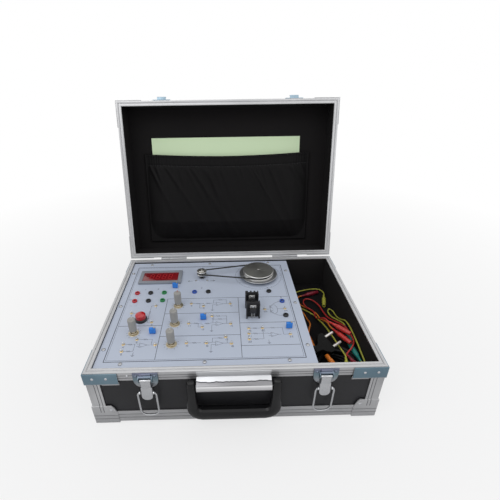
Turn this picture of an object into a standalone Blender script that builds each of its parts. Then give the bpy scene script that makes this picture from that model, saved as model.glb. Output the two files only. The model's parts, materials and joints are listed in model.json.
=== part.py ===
"""A motor control trainer in an aluminium-edged carrying case, as separate pieces at real size.

The case frame has x to the right, y to the back and z up, with its origin at the middle of the case's
underside. The lid is modelled shut and is turned open about its hinge axis by its parent empty.
"""
import math

import bmesh
import bpy
from mathutils import Matrix, Vector

MM = 0.001

# Case
CASE_W = 410 * MM
CASE_D = 298 * MM
BASE_H = 101.4 * MM
LID_H = 52 * MM
PARTING = 0.5 * MM
FOOT_H = 3 * MM
FOOT_R = 6 * MM
FOOT_X = 157 * MM
FOOT_Y = 138 * MM
GAP = 0.3 * MM
RAIL_T = 1.4 * MM
PLY_T = 7 * MM
FLOOR_T = 6.5 * MM
RIM_W = 9 * MM
RIM_FACE = 15 * MM
RIM_WEB = 2.2 * MM
EDGE_FACE = 22 * MM
LID_EDGE_FACE = 17 * MM
CORNER_LEG = 18.7 * MM
PLATE_T = 1.1 * MM
CAP_LEG = 33.7 * MM
CAP_H = 34.6 * MM
LID_CAP_H = 29 * MM
PLATE_LEG = 45.5 * MM
PLATE_H = 20 * MM

# Hinge axis of the lid, behind the back face at the parting line
HINGE_BACK = 2.5 * MM
HINGE_UP = 0.25 * MM
LID_OPEN = math.radians(103.8)
HINGE_XS = (-117.5 * MM, 113 * MM)
HINGE_W = 52 * MM
HINGE_R = 2.1 * MM
HINGE_PIN_R = 1 * MM
LEAF_T = 1 * MM
LEAF_H = 17 * MM

# Handle and its bracket
HANDLE_X = -3 * MM
HANDLE_OUT = 8.8 * MM
HANDLE_Z = 82 * MM
HANDLE_W = 129 * MM
HANDLE_DROP = 56 * MM
ARM_W = 13 * MM
ARM_T = 10 * MM
GRIP_T = 20 * MM
GRIP_D = 15 * MM
HANDLE_BEND = 14 * MM
BRACKET_W = 101 * MM
ROLL_R = 7.6 * MM
ROLL_T = 1.2 * MM
ROD_R = 2 * MM

# Latches
LATCH_XS = {"left": -122 * MM, "right": 122 * MM}
LATCH_OUT = 4.2 * MM
LEVER_Z = 90 * MM
LEVER_W = 15.4 * MM
BAIL_DROP = 21 * MM
BAIL_OUT = 2.6 * MM
BAIL_W = 28 * MM
BAIL_LEN = 48 * MM
WIRE_R = 1.4 * MM

# Control panel
PANEL_X0 = -195.7 * MM
PANEL_X1 = 113.7 * MM
PANEL_Y = 138 * MM
PANEL_T = 3 * MM
PANEL_Z = BASE_H - 3.2 * MM
WALL_X = 114.6 * MM
INNER_FLOOR_Z = 36 * MM
BATTEN_W = 14 * MM

# Circuit board under the panel
BOARD_T = 1.6 * MM
BOARD_SPAN = ((-181 * MM, -125 * MM), (100 * MM, 60 * MM))

# Places on the control panel, (x, y) from the middle of the case
METER_CENTRE = (-134.4 * MM, 82.8 * MM)
METER_W = 79 * MM
METER_D = 41 * MM
METER_H = 4.5 * MM
METER_LIP = 6.3 * MM
METER_BODY_D = 26 * MM

SOCKET_PLACES = (
    (-169.4, 34.1), (-169.4, 11.1), (-145.8, 34.1), (-145.8, 11.1), (-42.9, 34.3), (65.5, 31.8),
    (85.2, -35.5), (-67.5, 34.3), (84.7, 2.0), (-121.5, 34.1), (-121.5, 11.5),
)
SOCKET_R = 4.4 * MM
SOCKET_H = 3 * MM
SOCKET_STEM_R = 3 * MM
SOCKET_BORE_R = 2 * MM
SOCKET_DEPTH = 12 * MM

TEST_PLACES = (
    (-130.7, -2.3), (-167.9, -20.9), (-130.9, -44.4), (-164.1, -93.0), (-163.4, -106.9),
    (-146.1, -83.2), (-116.9, -95.0), (-70.9, 1.6), (-49.8, -5.7), (-4.5, -0.8),
    (-71.4, -49.3), (-34.8, -32.7), (-49.7, -58.3), (-5.0, -52.1), (-71.4, -92.8),
    (-41.9, -93.8), (-13.1, -81.9), (-4.8, -95.9), (23.0, -63.9), (44.2, -63.9),
    (22.6, -75.7), (22.2, -87.7), (85.1, -78.8), (86.5, -17.4), (52.9, -17.9),
)
TEST_R = 1.7 * MM
TEST_H = 1.4 * MM

KNOB_PLACES = ((-92.3, -3.2), (-93.3, -49.7), (-93.1, -94.8), (-154.0, -68.8))
KNOB_TOP = 28.2 * MM
KNOB_BASE = 6 * MM
KNOB_R = 6 * MM
KNOB_SKIRT_R = 7.2 * MM
KNOB_SKIRT_H = 6 * MM
KNOB_BORE_R = 3.4 * MM
KNOB_TURN_R = 3 * MM
NUT_R = 6.9 * MM
NUT_H = 2.6 * MM
BUSH_R = 3.5 * MM
TURN_TOP = 16 * MM
POT_R = 8 * MM
POT_H = 10 * MM

BUTTON_PLACE = (-148.5, -38.3)
BUTTON_R = 8.2 * MM
BUTTON_TOP = 13 * MM
BUTTON_TRAVEL = 2.5 * MM
COLLAR_R = 9.6 * MM
COLLAR_H = 5 * MM

TRIMMER_PLACES = ((-103.6, 50.7), (-48.4, -39.5), (-124.7, -69.6), (85.6, -64.4))
TRIMMER_W = 9.5 * MM
TRIMMER_D = 4.8 * MM
TRIMMER_H = 10 * MM
TRIMMER_LEG_R = 0.8 * MM
TRIMMER_SCREW_R = 1.1 * MM
TRIMMER_SCREW_H = 1.5 * MM
TRIMMER_SCREW_DX = 3 * MM

# Motor and angle drive
MOTOR_PLACE = (-56.5, 82.9)
DISC_PLACE = (51.0, 82.9)
BELT_R = 1.3 * MM
BELT_Z = 11 * MM
PULLEY_RUN = 7.5 * MM
DISC_RUN = 26.9 * MM
PULLEY_R = 9 * MM
PULLEY_TOP = 16.4 * MM
DISC_R = 28.5 * MM
DISC_TOP = 14.6 * MM
FLANGE_R = 35.5 * MM
FLANGE_Z = 6.3 * MM
MOTOR_SHAFT_R = 1.5 * MM
DISC_SHAFT_R = 3 * MM
MOTOR_CAN_R = 14 * MM
MOTOR_CAN_H = 42 * MM

# Power stage
SINK_PLACES = {"front": (31.4, -34.6), "rear": (31.4, -8.0)}
SINK_W = 21.5 * MM
SINK_H = 29 * MM
SINK_FLANGE = 7 * MM
SINK_WEB_T = 1.8 * MM
TAB_W = 10 * MM
TAB_H = 6.5 * MM
TAB_T = 1.2 * MM
CHIP_LOW = 10.3 * MM
CHIP_H = 9 * MM
CHIP_T = 4.2 * MM
LEG_PITCH = 2.54 * MM
LEG_W = 0.7 * MM

# Pocket and booklet in the lid: s runs from the hinge edge across the lid, depth from the rim inwards
POCKET_X0 = -170 * MM
POCKET_X1 = 164 * MM
POCKET_S0 = 24 * MM
POCKET_S1 = 205 * MM
POCKET_SAG = 6 * MM
POCKET_BULGE = 15 * MM
POCKET_T = 1.4 * MM
POCKET_FOLDS = 9
POCKET_FOLD = 1.6 * MM
BOOKLET_X = -5 * MM
BOOKLET_W = 296 * MM
BOOKLET_S0 = 26 * MM
BOOKLET_LEN = 209 * MM
BOOKLET_T = 3 * MM

# Mains lead, coiled on the compartment's floor
CORD_R = 2.8 * MM
COIL_TURNS_PER_LAYER = 1.625
COIL_LAYERS = 4
COIL_R_OUT = 36.5 * MM
COIL_PITCH = 6.4 * MM
COIL_RISE = 6.1 * MM
COIL_CENTRE = (155.4 * MM, -100 * MM)
COIL_POINTS = 24
COIL_START = math.pi / 2
PLUG_BASE = (148.2, -71.3, 71.7)
PLUG_WAY = (0.853, 0.507, 0.128)
PLUG_ROLL = math.radians(20)
PLUG_LEN = 28 * MM
PLUG_W = 34 * MM
PLUG_T = 14 * MM
PIN_GAP = 19 * MM
PIN_LEN = 19 * MM
PIN_R = 2.2 * MM
CORD_TOP = ((138, -132, 60.6), (127.5, -122, 65.4), (120.5, -108, 67.8), (118.7, -96, 67.4))
GLAND_PLACE = (WALL_X + GAP, -58 * MM, 46.5 * MM)
GLAND_R = 7 * MM
GLAND_LEN = 20 * MM

# Patch leads: each plug's middle in mm, and the way its tip points in plan
LEAD_R = 1.25 * MM
PATCH_LEN = 38
PATCH_R = 4
PLUGS = {
    "red_front": ((173, -59, 73.4), (0.5, -0.87)),
    "red_top": ((172, -50, 82), (0.66, -0.75)),
    "teal_front": ((187, -87, 64.6), (-0.15, 0.99)),
    "teal_wall": ((191, -43, 62.6), (0, -1)),
    "yellow_front": ((165.5, -116, 64.6), (-0.2, -0.98)),
    "dark_red_front": ((180, -112, 64.6), (0.3, -0.95)),
    "yellow_back": ((184, 78, 40.4), (-0.24, -0.97)),
    "dark_red_back": ((160, 100, 40.4), (0.95, 0.32)),
    "orange_front": ((131, -30, 40.4), (0.15, -0.99)),
    "orange_rear": ((147, -110, 64.6), (-0.3, 0.95)),
}
# Each lead's two plugs and the places in mm that it passes between them
LEADS = {
    "yellow_patch_lead": ("yellow_back", "yellow_front", (
        (190, 104, 40), (184, 118, 38.4), (167, 120, 38), (150, 116, 38), (134, 109.5, 38), (125.5, 95, 38),
        (124.5, 78, 38), (131, 61, 38), (145, 47, 38), (155.5, 33, 38.4), (158, 16, 43), (158.2, -4, 53),
        (159, -25, 60.6), (162, -44, 62.4), (165.5, -62, 62.6), (168.6, -80, 63))),
    "red_patch_lead": ("dark_red_back", "red_front", (
        (134.5, 90.5, 39.5), (131, 78.5, 38), (137, 66, 38), (149, 54, 38), (159.5, 40, 38.4),
        (162.5, 20, 42),
        (162.8, -2, 56), (162, -20, 67), (160.6, -32, 72))),
    "dark_red_patch_lead": ("red_top", "dark_red_front", (
        (154, -22, 79), (151, -4, 64), (153, 18, 47), (154, 42, 42), (144, 57, 41.4), (141, 71, 41.4),
        (148, 82, 41.4), (160, 78, 41.4), (169, 62, 41.4), (173, 40, 41.6), (176, 18, 46), (181, -10, 60),
        (187, -34, 70), (189.4, -56, 72), (189.2, -70, 71.6), (183, -82, 70.6))),
    "teal_patch_lead": ("teal_wall", "teal_front", (
        (190.5, -12, 60), (187, 6, 52), (183.5, 26, 43), (182.5, 42, 40), (187, 52, 39), (192.5, 45, 39.5),
        (193, 24, 44), (193.5, 4, 54), (194, -14, 66), (194.2, -34, 71), (194.2, -60, 71.5), (194, -84, 70),
        (194, -106, 67.5), (193.5, -120, 65.5), (189.5, -125.5, 64.6))),
    "orange_patch_lead": ("orange_front", "orange_rear", (
        (126, 4, 39), (121.5, 22, 38), (121, 42, 38), (128, 53, 38), (135, 42, 39), (137, 20, 43),
        (136, -6, 54), (128, -30, 60), (120, -58, 62), (117.2, -84, 62), (117, -100, 62), (117.4, -116, 62.6),
        (122, -130, 63.4),
        (134, -137.5, 63.4), (146, -138.2, 63.8))),
}
LEAD_POINTS = 13


def material(name, colour, roughness, metallic=0.0):
    """Make one Principled material with the piece's colour and finish."""
    made = bpy.data.materials.new(name)
    made.use_nodes = True
    shader = made.node_tree.nodes["Principled BSDF"]
    shader.inputs["Base Color"].default_value = (*colour, 1.0)
    shader.inputs["Roughness"].default_value = roughness
    shader.inputs["Metallic"].default_value = metallic
    made.diffuse_color = (*colour, 1.0)
    return made


def empty(name, place, parent=None, turn=0.0):
    """Make an empty at a place, turned about X, to carry pieces."""
    made = bpy.data.objects.new(name, None)
    made.location = place
    made.rotation_euler = (turn, 0.0, 0.0)
    made.parent = parent
    bpy.context.scene.collection.objects.link(made)
    return made


def finish_mesh(bm, name):
    """Turn a bmesh into a mesh with its faces pointing out and its round sides smooth."""
    bmesh.ops.remove_doubles(bm, verts=bm.verts, dist=0.001 * MM)
    bmesh.ops.recalc_face_normals(bm, faces=bm.faces)
    mesh = bpy.data.meshes.new(name)
    bm.to_mesh(mesh)
    bm.free()
    mesh.shade_smooth()
    mesh.set_sharp_from_angle(angle=math.radians(35))
    return mesh


def piece(name, bm, finish, parent, place=(0, 0, 0)):
    """Link one named piece under its parent, with its origin at a place."""
    made = bpy.data.objects.new(name, finish_mesh(bm, name))
    made.data.materials.append(finish)
    made.location = place
    made.parent = parent
    bpy.context.scene.collection.objects.link(made)
    return made


def combine(target, tool_bm, operation):
    """Join or cut a piece with a hidden tool shape that stays on it as a Boolean."""
    tool = bpy.data.objects.new(target.name + "_" + operation.lower(), finish_mesh(tool_bm, "tool"))
    tool.location = target.location
    tool.parent = target.parent
    tool.hide_render = True
    tool.display_type = "WIRE"
    bpy.context.scene.collection.objects.link(tool)
    step = target.modifiers.new(operation.title(), "BOOLEAN")
    step.operation = operation
    step.solver = "EXACT"
    step.use_self = True
    step.object = tool


def box(bm, low, high):
    """Add a box between two corners."""
    made = bmesh.ops.create_cube(bm, size=1.0)["verts"]
    low, high = Vector(low), Vector(high)
    bmesh.ops.scale(bm, vec=high - low, verts=made)
    bmesh.ops.translate(bm, vec=(low + high) / 2, verts=made)


def prism(bm, outline, start, end, place=None):
    """Extrude an outline in x and y from one height to another, then move it by a matrix."""
    corners = [bm.verts.new((x, y, start)) for x, y in outline]
    face = bm.faces.new(corners)
    grown = bmesh.ops.extrude_face_region(bm, geom=[face])["geom"]
    lifted = [item for item in grown if isinstance(item, bmesh.types.BMVert)]
    bmesh.ops.translate(bm, vec=(0, 0, end - start), verts=lifted)
    if place is not None:
        bmesh.ops.transform(bm, matrix=place, verts=corners + lifted)


def circle(radius, sides, x=0.0, y=0.0, start=0.0):
    """Points round a circle."""
    turns = [start + 2 * math.pi * step / sides for step in range(sides)]
    return [(x + radius * math.cos(turn), y + radius * math.sin(turn)) for turn in turns]


def rod(bm, radius, start, end, sides, x=0.0, y=0.0, place=None):
    """Add a round bar along z."""
    prism(bm, circle(radius, sides, x, y, math.pi / sides), start, end, place)


def turned(bm, profile, sides, x=0.0, y=0.0):
    """Spin an open profile of (radius, height) points, which starts and ends on the axis."""
    before = set(bm.verts)
    points = [bm.verts.new((radius, 0, height)) for radius, height in profile]
    edges = [bm.edges.new(pair) for pair in zip(points, points[1:])]
    bmesh.ops.spin(
        bm, geom=points + edges, cent=(0, 0, 0), axis=(0, 0, 1), angle=2 * math.pi, steps=sides,
        use_merge=True,
    )
    made = [vert for vert in bm.verts if vert not in before]
    bmesh.ops.remove_doubles(bm, verts=made, dist=0.001 * MM)
    made = [vert for vert in bm.verts if vert not in before]
    bmesh.ops.translate(bm, vec=(x, y, 0), verts=made)


def along_x(x, y, z):
    """Turn a shape drawn in (x, y) with height z so that it stands along the case's X axis.

    The outline's x becomes the case's y, its y becomes z, and its height becomes x.
    """
    turn = Matrix(((0, 0, 1, 0), (1, 0, 0, 0), (0, 1, 0, 0), (0, 0, 0, 1)))
    return Matrix.Translation((x, y, z)) @ turn


def rail_loop(bm, half_x, half_y, profile):
    """Add one closed loop of rail round a rectangle, from a profile of (inward, height) points."""
    rings = []
    for side_x, side_y in ((-1, -1), (1, -1), (1, 1), (-1, 1)):
        rings.append([
            bm.verts.new((side_x * (half_x - inward), side_y * (half_y - inward), height))
            for inward, height in profile
        ])
    count = len(profile)
    for one, two in zip(rings, rings[1:] + rings[:1]):
        for step in range(count):
            after = (step + 1) % count
            bm.faces.new((one[step], one[after], two[after], two[step]))


def mirrored_corners(bm, outline, start, end):
    """Stand an outline of (in from the side, in from the front) points at the four corners."""
    for side_x in (-1, 1):
        for side_y in (-1, 1):
            corner = [(side_x * (CASE_W / 2 - a), side_y * (CASE_D / 2 - b)) for a, b in outline]
            prism(bm, corner, start, end)


def tray(name, finish, parent, low, high, well_low, well_high):
    """A box of glued panels with a well cut into it."""
    bm, well = bmesh.new(), bmesh.new()
    box(bm, low, high)
    box(well, well_low, well_high)
    combine(piece(name, bm, finish, parent), well, "DIFFERENCE")


def make_base(case, finishes):
    """The tray: a plywood shell, aluminium rails with steel corners, and rubber feet."""
    half_w, half_d = CASE_W / 2, CASE_D / 2
    skin = RAIL_T + GAP
    inner = skin + PLY_T
    top = BASE_H - RIM_WEB - GAP
    tray(
        "base_shell", finishes["laminate"], case, (-half_w + skin, -half_d + skin, skin),
        (half_w - skin, half_d - skin, top), (-half_w + inner, -half_d + inner, skin + FLOOR_T),
        (half_w - inner, half_d - inner, BASE_H),
    )
    bm = bmesh.new()
    rail_loop(bm, half_w, half_d, rim_profile(BASE_H, -1))
    piece("base_rim_rails", bm, finishes["aluminium"], case)
    edge_rails("base_edge_rails", case, finishes["aluminium"], 0, 1, (EDGE_FACE, CAP_H, BASE_H))

    for depth, y in (("front", -FOOT_Y), ("rear", FOOT_Y)):
        for side, x in (("left", -FOOT_X), ("right", FOOT_X)):
            bm = bmesh.new()
            rod(bm, FOOT_R, -FOOT_H, -GAP, 12)
            piece(f"{depth}_{side}_foot", bm, finishes["rubber"], case, (x, y, 0))


def edge_rails(name, parent, finish, edge, up, sizes):
    """The angle rail round the outer edge with its corner posts, corner caps and rim corner plates."""
    face, cap_height, rim = sizes
    half_w, half_d = CASE_W / 2, CASE_D / 2
    low, high = sorted((edge + up * (face - 2 * MM), edge + up * (abs(rim - edge) - RIM_FACE - GAP)))
    loop, posts, caps = bmesh.new(), bmesh.new(), bmesh.new()
    rail_loop(loop, half_w, half_d, edge_profile(edge, up, face))
    mirrored_corners(posts, corner_outline(), low, high)
    corner_fittings(caps, edge, up, cap_height)
    out = GAP + PLATE_T
    leg = PLATE_LEG
    plate = [(-out, -out), (leg, -out), (leg, -GAP), (-GAP, -GAP), (-GAP, leg), (-out, leg)]
    lug = [(-out, -out), (leg * 0.35, -out), (leg * 0.35, GAP), (GAP, GAP), (GAP, leg * 0.35),
        (-out, leg * 0.35)]
    start, end = sorted((rim - up * MM, rim - up * (MM + PLATE_H)))
    mirrored_corners(caps, plate, start, end)
    start, end = sorted((rim - up * (MM + PLATE_H), rim - up * (RIM_FACE + 2 * GAP)))
    mirrored_corners(caps, lug, start, end)
    made = piece(name, loop, finish, parent)
    combine(made, posts, "UNION")
    combine(made, caps, "UNION")


def rim_profile(edge, out):
    """Section of the rail round the opening: face, top with a groove, and web. out is 1 for the lid."""
    groove = [(0, 0), (3.7, 0), (3.7, 0.9), (5.3, 0.9), (5.3, 0)]
    groove = [(inward * MM, depth * MM) for inward, depth in groove]
    web = [(RIM_W, 0), (RIM_W, RIM_WEB), (RAIL_T, RIM_WEB), (RAIL_T, RIM_FACE), (0, RIM_FACE)]
    return [(inward, edge + out * depth) for inward, depth in groove + web]


def edge_profile(edge, up, height):
    """Section of the angle rail along an outer edge: a face and a flange under or over the panel."""
    section = [(0, 0), (0, height), (RAIL_T, height), (RAIL_T, RAIL_T), (EDGE_FACE, RAIL_T), (EDGE_FACE, 0)]
    return [(inward, edge + up * depth) for inward, depth in section]


def corner_outline():
    """Section of a vertical corner rail, as distances in from the two faces."""
    leg, skin = CORNER_LEG, RAIL_T
    return [(0, 0), (leg, 0), (leg, skin), (skin, skin), (skin, leg), (0, leg)]


def corner_fittings(bm, edge, up, cap_height):
    """Add three-sided caps on the four outer corners."""
    out = GAP + PLATE_T
    tall = [
        (-out, -out), (CAP_LEG, -out), (CAP_LEG, 0.6 * cap_height), (0.9 * CAP_LEG, 0.88 * cap_height),
        (0.8 * CAP_LEG, cap_height + 1 * MM), (0.65 * CAP_LEG, cap_height + 1 * MM),
        (0.55 * CAP_LEG, cap_height), (-out, cap_height),
    ]
    flat = [(-out, -out), (CAP_LEG, -out), (CAP_LEG, 0.5 * CAP_LEG), (0.5 * CAP_LEG, CAP_LEG),
        (-out, CAP_LEG)]
    for side_x in (-1, 1):
        for side_y in (-1, 1):
            x0, y0 = side_x * CASE_W / 2, side_y * CASE_D / 2
            face_y = Matrix(((-side_x, 0, 0, x0), (0, 0, side_y, y0), (0, up, 0, edge), (0, 0, 0, 1)))
            prism(bm, tall, -GAP, out, face_y)
            face_x = Matrix(((0, 0, side_x, x0), (-side_y, 0, 0, y0), (0, up, 0, edge), (0, 0, 0, 1)))
            prism(bm, tall, -GAP, out, face_x)
            face_z = Matrix(((-side_x, 0, 0, x0), (0, -side_y, 0, y0), (0, 0, -up, edge), (0, 0, 0, 1)))
            prism(bm, flat, -GAP, out, face_z)


def make_handle(case, finishes):
    """The carrying handle on its rod, and the rolled bracket that holds the rod."""
    face = -CASE_D / 2
    axis_y, axis_z = face - HANDLE_OUT, HANDLE_Z
    outline = bracket_outline()
    bm = bmesh.new()
    prism(bm, outline, -BRACKET_W / 2, BRACKET_W / 2, along_x(HANDLE_X, axis_y, axis_z))
    bracket = piece("handle_bracket", bm, finishes["bright_steel"], case)
    pin = bmesh.new()
    rod(pin, ROD_R, -HANDLE_W / 2 + 3 * MM, HANDLE_W / 2 - 3 * MM, 10, place=along_x(HANDLE_X, axis_y,
        axis_z))
    combine(bracket, pin, "UNION")

    bm = bmesh.new()
    handle_body(bm)
    handle = piece("handle", bm, finishes["black_plastic"], case, (HANDLE_X, axis_y, axis_z))
    bore = bmesh.new()
    reach = HANDLE_W / 2 - 2 * MM
    rod(bore, ROD_R + 0.6 * MM, -reach, reach, 10, place=along_x(0, 0, 0))
    combine(handle, bore, "DIFFERENCE")


def bracket_outline():
    """The bracket's section about the rod: a flat on the rim's face that swells round the rod."""
    back = HANDLE_OUT - GAP
    top = BASE_H - HANDLE_Z
    start = math.radians(120)
    end = math.radians(270)
    steps = 10
    turns = [start + (end - start) * step / steps for step in range(steps + 1)]
    outer = [(ROLL_R * math.cos(turn), ROLL_R * math.sin(turn)) for turn in turns]
    flat = [(back, top - 0.5 * MM), (back - ROLL_T, top - 0.5 * MM), (back - ROLL_T, ROLL_R + 2 * MM)]
    return flat + outer + [(back, -ROLL_R)]


def handle_body(bm):
    """Loft the handle's section down one arm, along the grip and up the other arm."""
    half = HANDLE_W / 2 - ARM_W / 2
    path = [(-half, 8 * MM), (-half, 4 * MM), (-half, -8 * MM), (-half, -22 * MM)]
    bend_steps = 4
    low = -HANDLE_DROP
    for step in range(bend_steps + 1):
        turn = math.pi / 2 * step / bend_steps
        path.append((
            -half + HANDLE_BEND * (1 - math.cos(turn)),
            low + HANDLE_BEND * (1 - math.sin(turn)),
        ))
    path += [(-half * 0.45, low), (0, low)]
    path += [(-x, z) for x, z in path[-2::-1]]
    rings = []
    sides = 12
    for index, (x, z) in enumerate(path):
        before = Vector(path[max(index - 1, 0)])
        after = Vector(path[min(index + 1, len(path) - 1)])
        way = (after - before).normalized()
        share = min(max((-z - 22 * MM) / (HANDLE_DROP - 22 * MM), 0), 1)
        half_in = (ARM_W + (GRIP_T - ARM_W) * share) / 2
        half_out = (ARM_T + (GRIP_D - ARM_T) * share) / 2
        if index in (0, len(path) - 1):
            half_in *= 0.7
            half_out *= 0.75
        ring = []
        for a, b in circle(1.0, sides, start=math.pi / sides):
            a = math.copysign(abs(a) ** 0.75, a) * half_in
            b = math.copysign(abs(b) ** 0.75, b) * half_out
            ring.append(bm.verts.new((x - way.y * a, b, z + way.x * a)))
        rings.append(ring)
    for one, two in zip(rings, rings[1:]):
        for step in range(sides):
            after = (step + 1) % sides
            bm.faces.new((one[step], one[after], two[after], two[step]))
    bm.faces.new(rings[0])
    bm.faces.new(rings[-1])


def tube(name, route, radius, finish, parent, resolution, closed=False, place=(0, 0, 0)):
    """A curve object with a round section along a route."""
    curve = bpy.data.curves.new(name, "CURVE")
    curve.dimensions = "3D"
    curve.bevel_depth = radius
    curve.bevel_resolution = resolution
    curve.use_fill_caps = not closed
    curve.resolution_u = 1
    curve.render_resolution_u = 0
    spline = curve.splines.new("POLY")
    spline.points.add(len(route) - 1)
    spline.use_cyclic_u = closed
    for point, where in zip(spline.points, route):
        point.co = (*where, 1.0)
    curve.materials.append(finish)
    made = bpy.data.objects.new(name, curve)
    made.location = place
    made.parent = parent
    bpy.context.scene.collection.objects.link(made)
    return made


def tube_shape(name, route, radius, finish, parent):
    """The surface of a tube along a route, read from a hidden guide curve."""
    guide = tube(name + "_guide", route, radius, finish, parent, 2)
    guide.hide_render = True
    guide.display_type = "WIRE"
    bm = bmesh.new()
    bm.from_mesh(bpy.data.meshes.new_from_object(guide))
    return bm


def make_latches(case, finishes):
    """Two draw latches: a plate with ears, a lever on the ears and a wire bail on the lever."""
    face = -CASE_D / 2
    metal = finishes["bright_steel"]
    outline = [
        (-17, 100.6), (-17, 88), (-16, 82), (-13.5, 77.5), (-10, 74.5), (-7, 73.4), (-7, 62), (-5, 60),
        (5, 60), (7, 62), (7, 73.4), (10, 74.5), (13.5, 77.5), (16, 82), (17, 88), (17, 100.6),
    ]
    outline = [(a * MM, b * MM) for a, b in outline]
    ear = [(-0.7, 6), (-5.5, 4), (-6.4, 0), (-5.5, -3), (-0.7, -6)]
    ear = [(a * MM, b * MM) for a, b in ear]
    blade = [
        (1.2, 1.6), (-1.6, 1.6), (-1.8, -14), (-3.4, -21), (-2.2, -30), (-1.2, -38), (0, -38), (-0.8, -30),
        (-1.2, -25), (1.2, -21), (1.2, -10),
    ]
    blade = [(a * MM, b * MM) for a, b in blade]
    for side, x in LATCH_XS.items():
        plate, ears, lever = bmesh.new(), bmesh.new(), bmesh.new()
        upright = Matrix(((1, 0, 0, x), (0, 0, -1, face), (0, 1, 0, 0), (0, 0, 0, 1)))
        prism(plate, outline, GAP, GAP + PLATE_T, upright)
        for low in (-LEVER_W / 2 - 1.8 * MM, LEVER_W / 2 + 0.6 * MM):
            prism(ears, ear, x + low, x + low + 1.2 * MM, along_x(0, face, LEVER_Z))
        combine(piece(f"{side}_latch_plate", plate, metal, case), ears, "UNION")
        prism(lever, blade, -LEVER_W / 2, LEVER_W / 2, along_x(0, 0, 0))
        piece(f"{side}_latch_lever", lever, metal, case, (x, face - LATCH_OUT, LEVER_Z))
        pivot = (x, face - LATCH_OUT - BAIL_OUT, LEVER_Z - BAIL_DROP)
        tube(f"{side}_latch_bail", bail_route(), WIRE_R, metal, case, 1, place=pivot)


def bail_route():
    """The bail's wire, from one side of the lever down round its loop and back to the other side."""
    start = LEVER_W / 2 + GAP + 0.2 * MM
    half = BAIL_W / 2 - WIRE_R
    low = -BAIL_LEN + WIRE_R
    side = [(start, 0), (half - 1 * MM, -0.6 * MM), (half, -4 * MM), (half, -0.45 * BAIL_LEN)]
    steps = 5
    bend = half * 0.8
    for step in range(steps):
        turn = math.pi / 2 * step / steps
        side.append((half - bend + bend * math.cos(turn), low + bend * (1 - math.sin(turn))))
    route = [(x, 0, z) for x, z in side] + [(0, 0, low)] + [(-x, 0, z) for x, z in side[::-1]]
    return route


def make_hinges(case, lid, finishes):
    """Two butt hinges: the tray's leaves carry the pins, and the lid's leaves turn on them."""
    back = CASE_D / 2
    knuckle = HINGE_W / 3
    low, high = back + GAP, back + GAP + LEAF_T
    for side, x in zip(("left", "right"), HINGE_XS):
        axis = along_x(0, back + HINGE_BACK, BASE_H + HINGE_UP)
        leaf, barrels, lid_leaf, lid_barrel, bore = (bmesh.new() for _ in range(5))
        x0, x1 = x - HINGE_W / 2, x + HINGE_W / 2
        box(leaf, (x0, low, BASE_H - LEAF_H), (x1, high, BASE_H - 2.5 * MM))
        for start, end in ((x0, x0 + knuckle - GAP / 2), (x1 - knuckle + GAP / 2, x1)):
            box(leaf, (start, low, BASE_H - 3 * MM), (end, high, BASE_H - 0.8 * MM))
            rod(barrels, HINGE_R, start, end, 12, place=axis)
        rod(leaf, HINGE_PIN_R, x0 + 2 * MM, x1 - 2 * MM, 8, place=axis)
        start, end = x0 + knuckle + GAP / 2, x1 - knuckle - GAP / 2
        box(lid_leaf, (x0, low, BASE_H + 3 * MM), (x1, high, BASE_H + LEAF_H))
        box(lid_leaf, (start, low, BASE_H + 1.3 * MM), (end, high, BASE_H + 3.5 * MM))
        rod(lid_barrel, HINGE_R, start, end, 12, place=axis)
        rod(bore, HINGE_PIN_R + GAP, start - MM, end + MM, 8, place=axis)
        combine(piece(f"{side}_hinge_base_leaf", leaf, finishes["steel"], case), barrels, "UNION")
        moving = piece(f"{side}_hinge_lid_leaf", lid_leaf, finishes["steel"], lid)
        combine(moving, lid_barrel, "UNION")
        combine(moving, bore, "DIFFERENCE")


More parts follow.
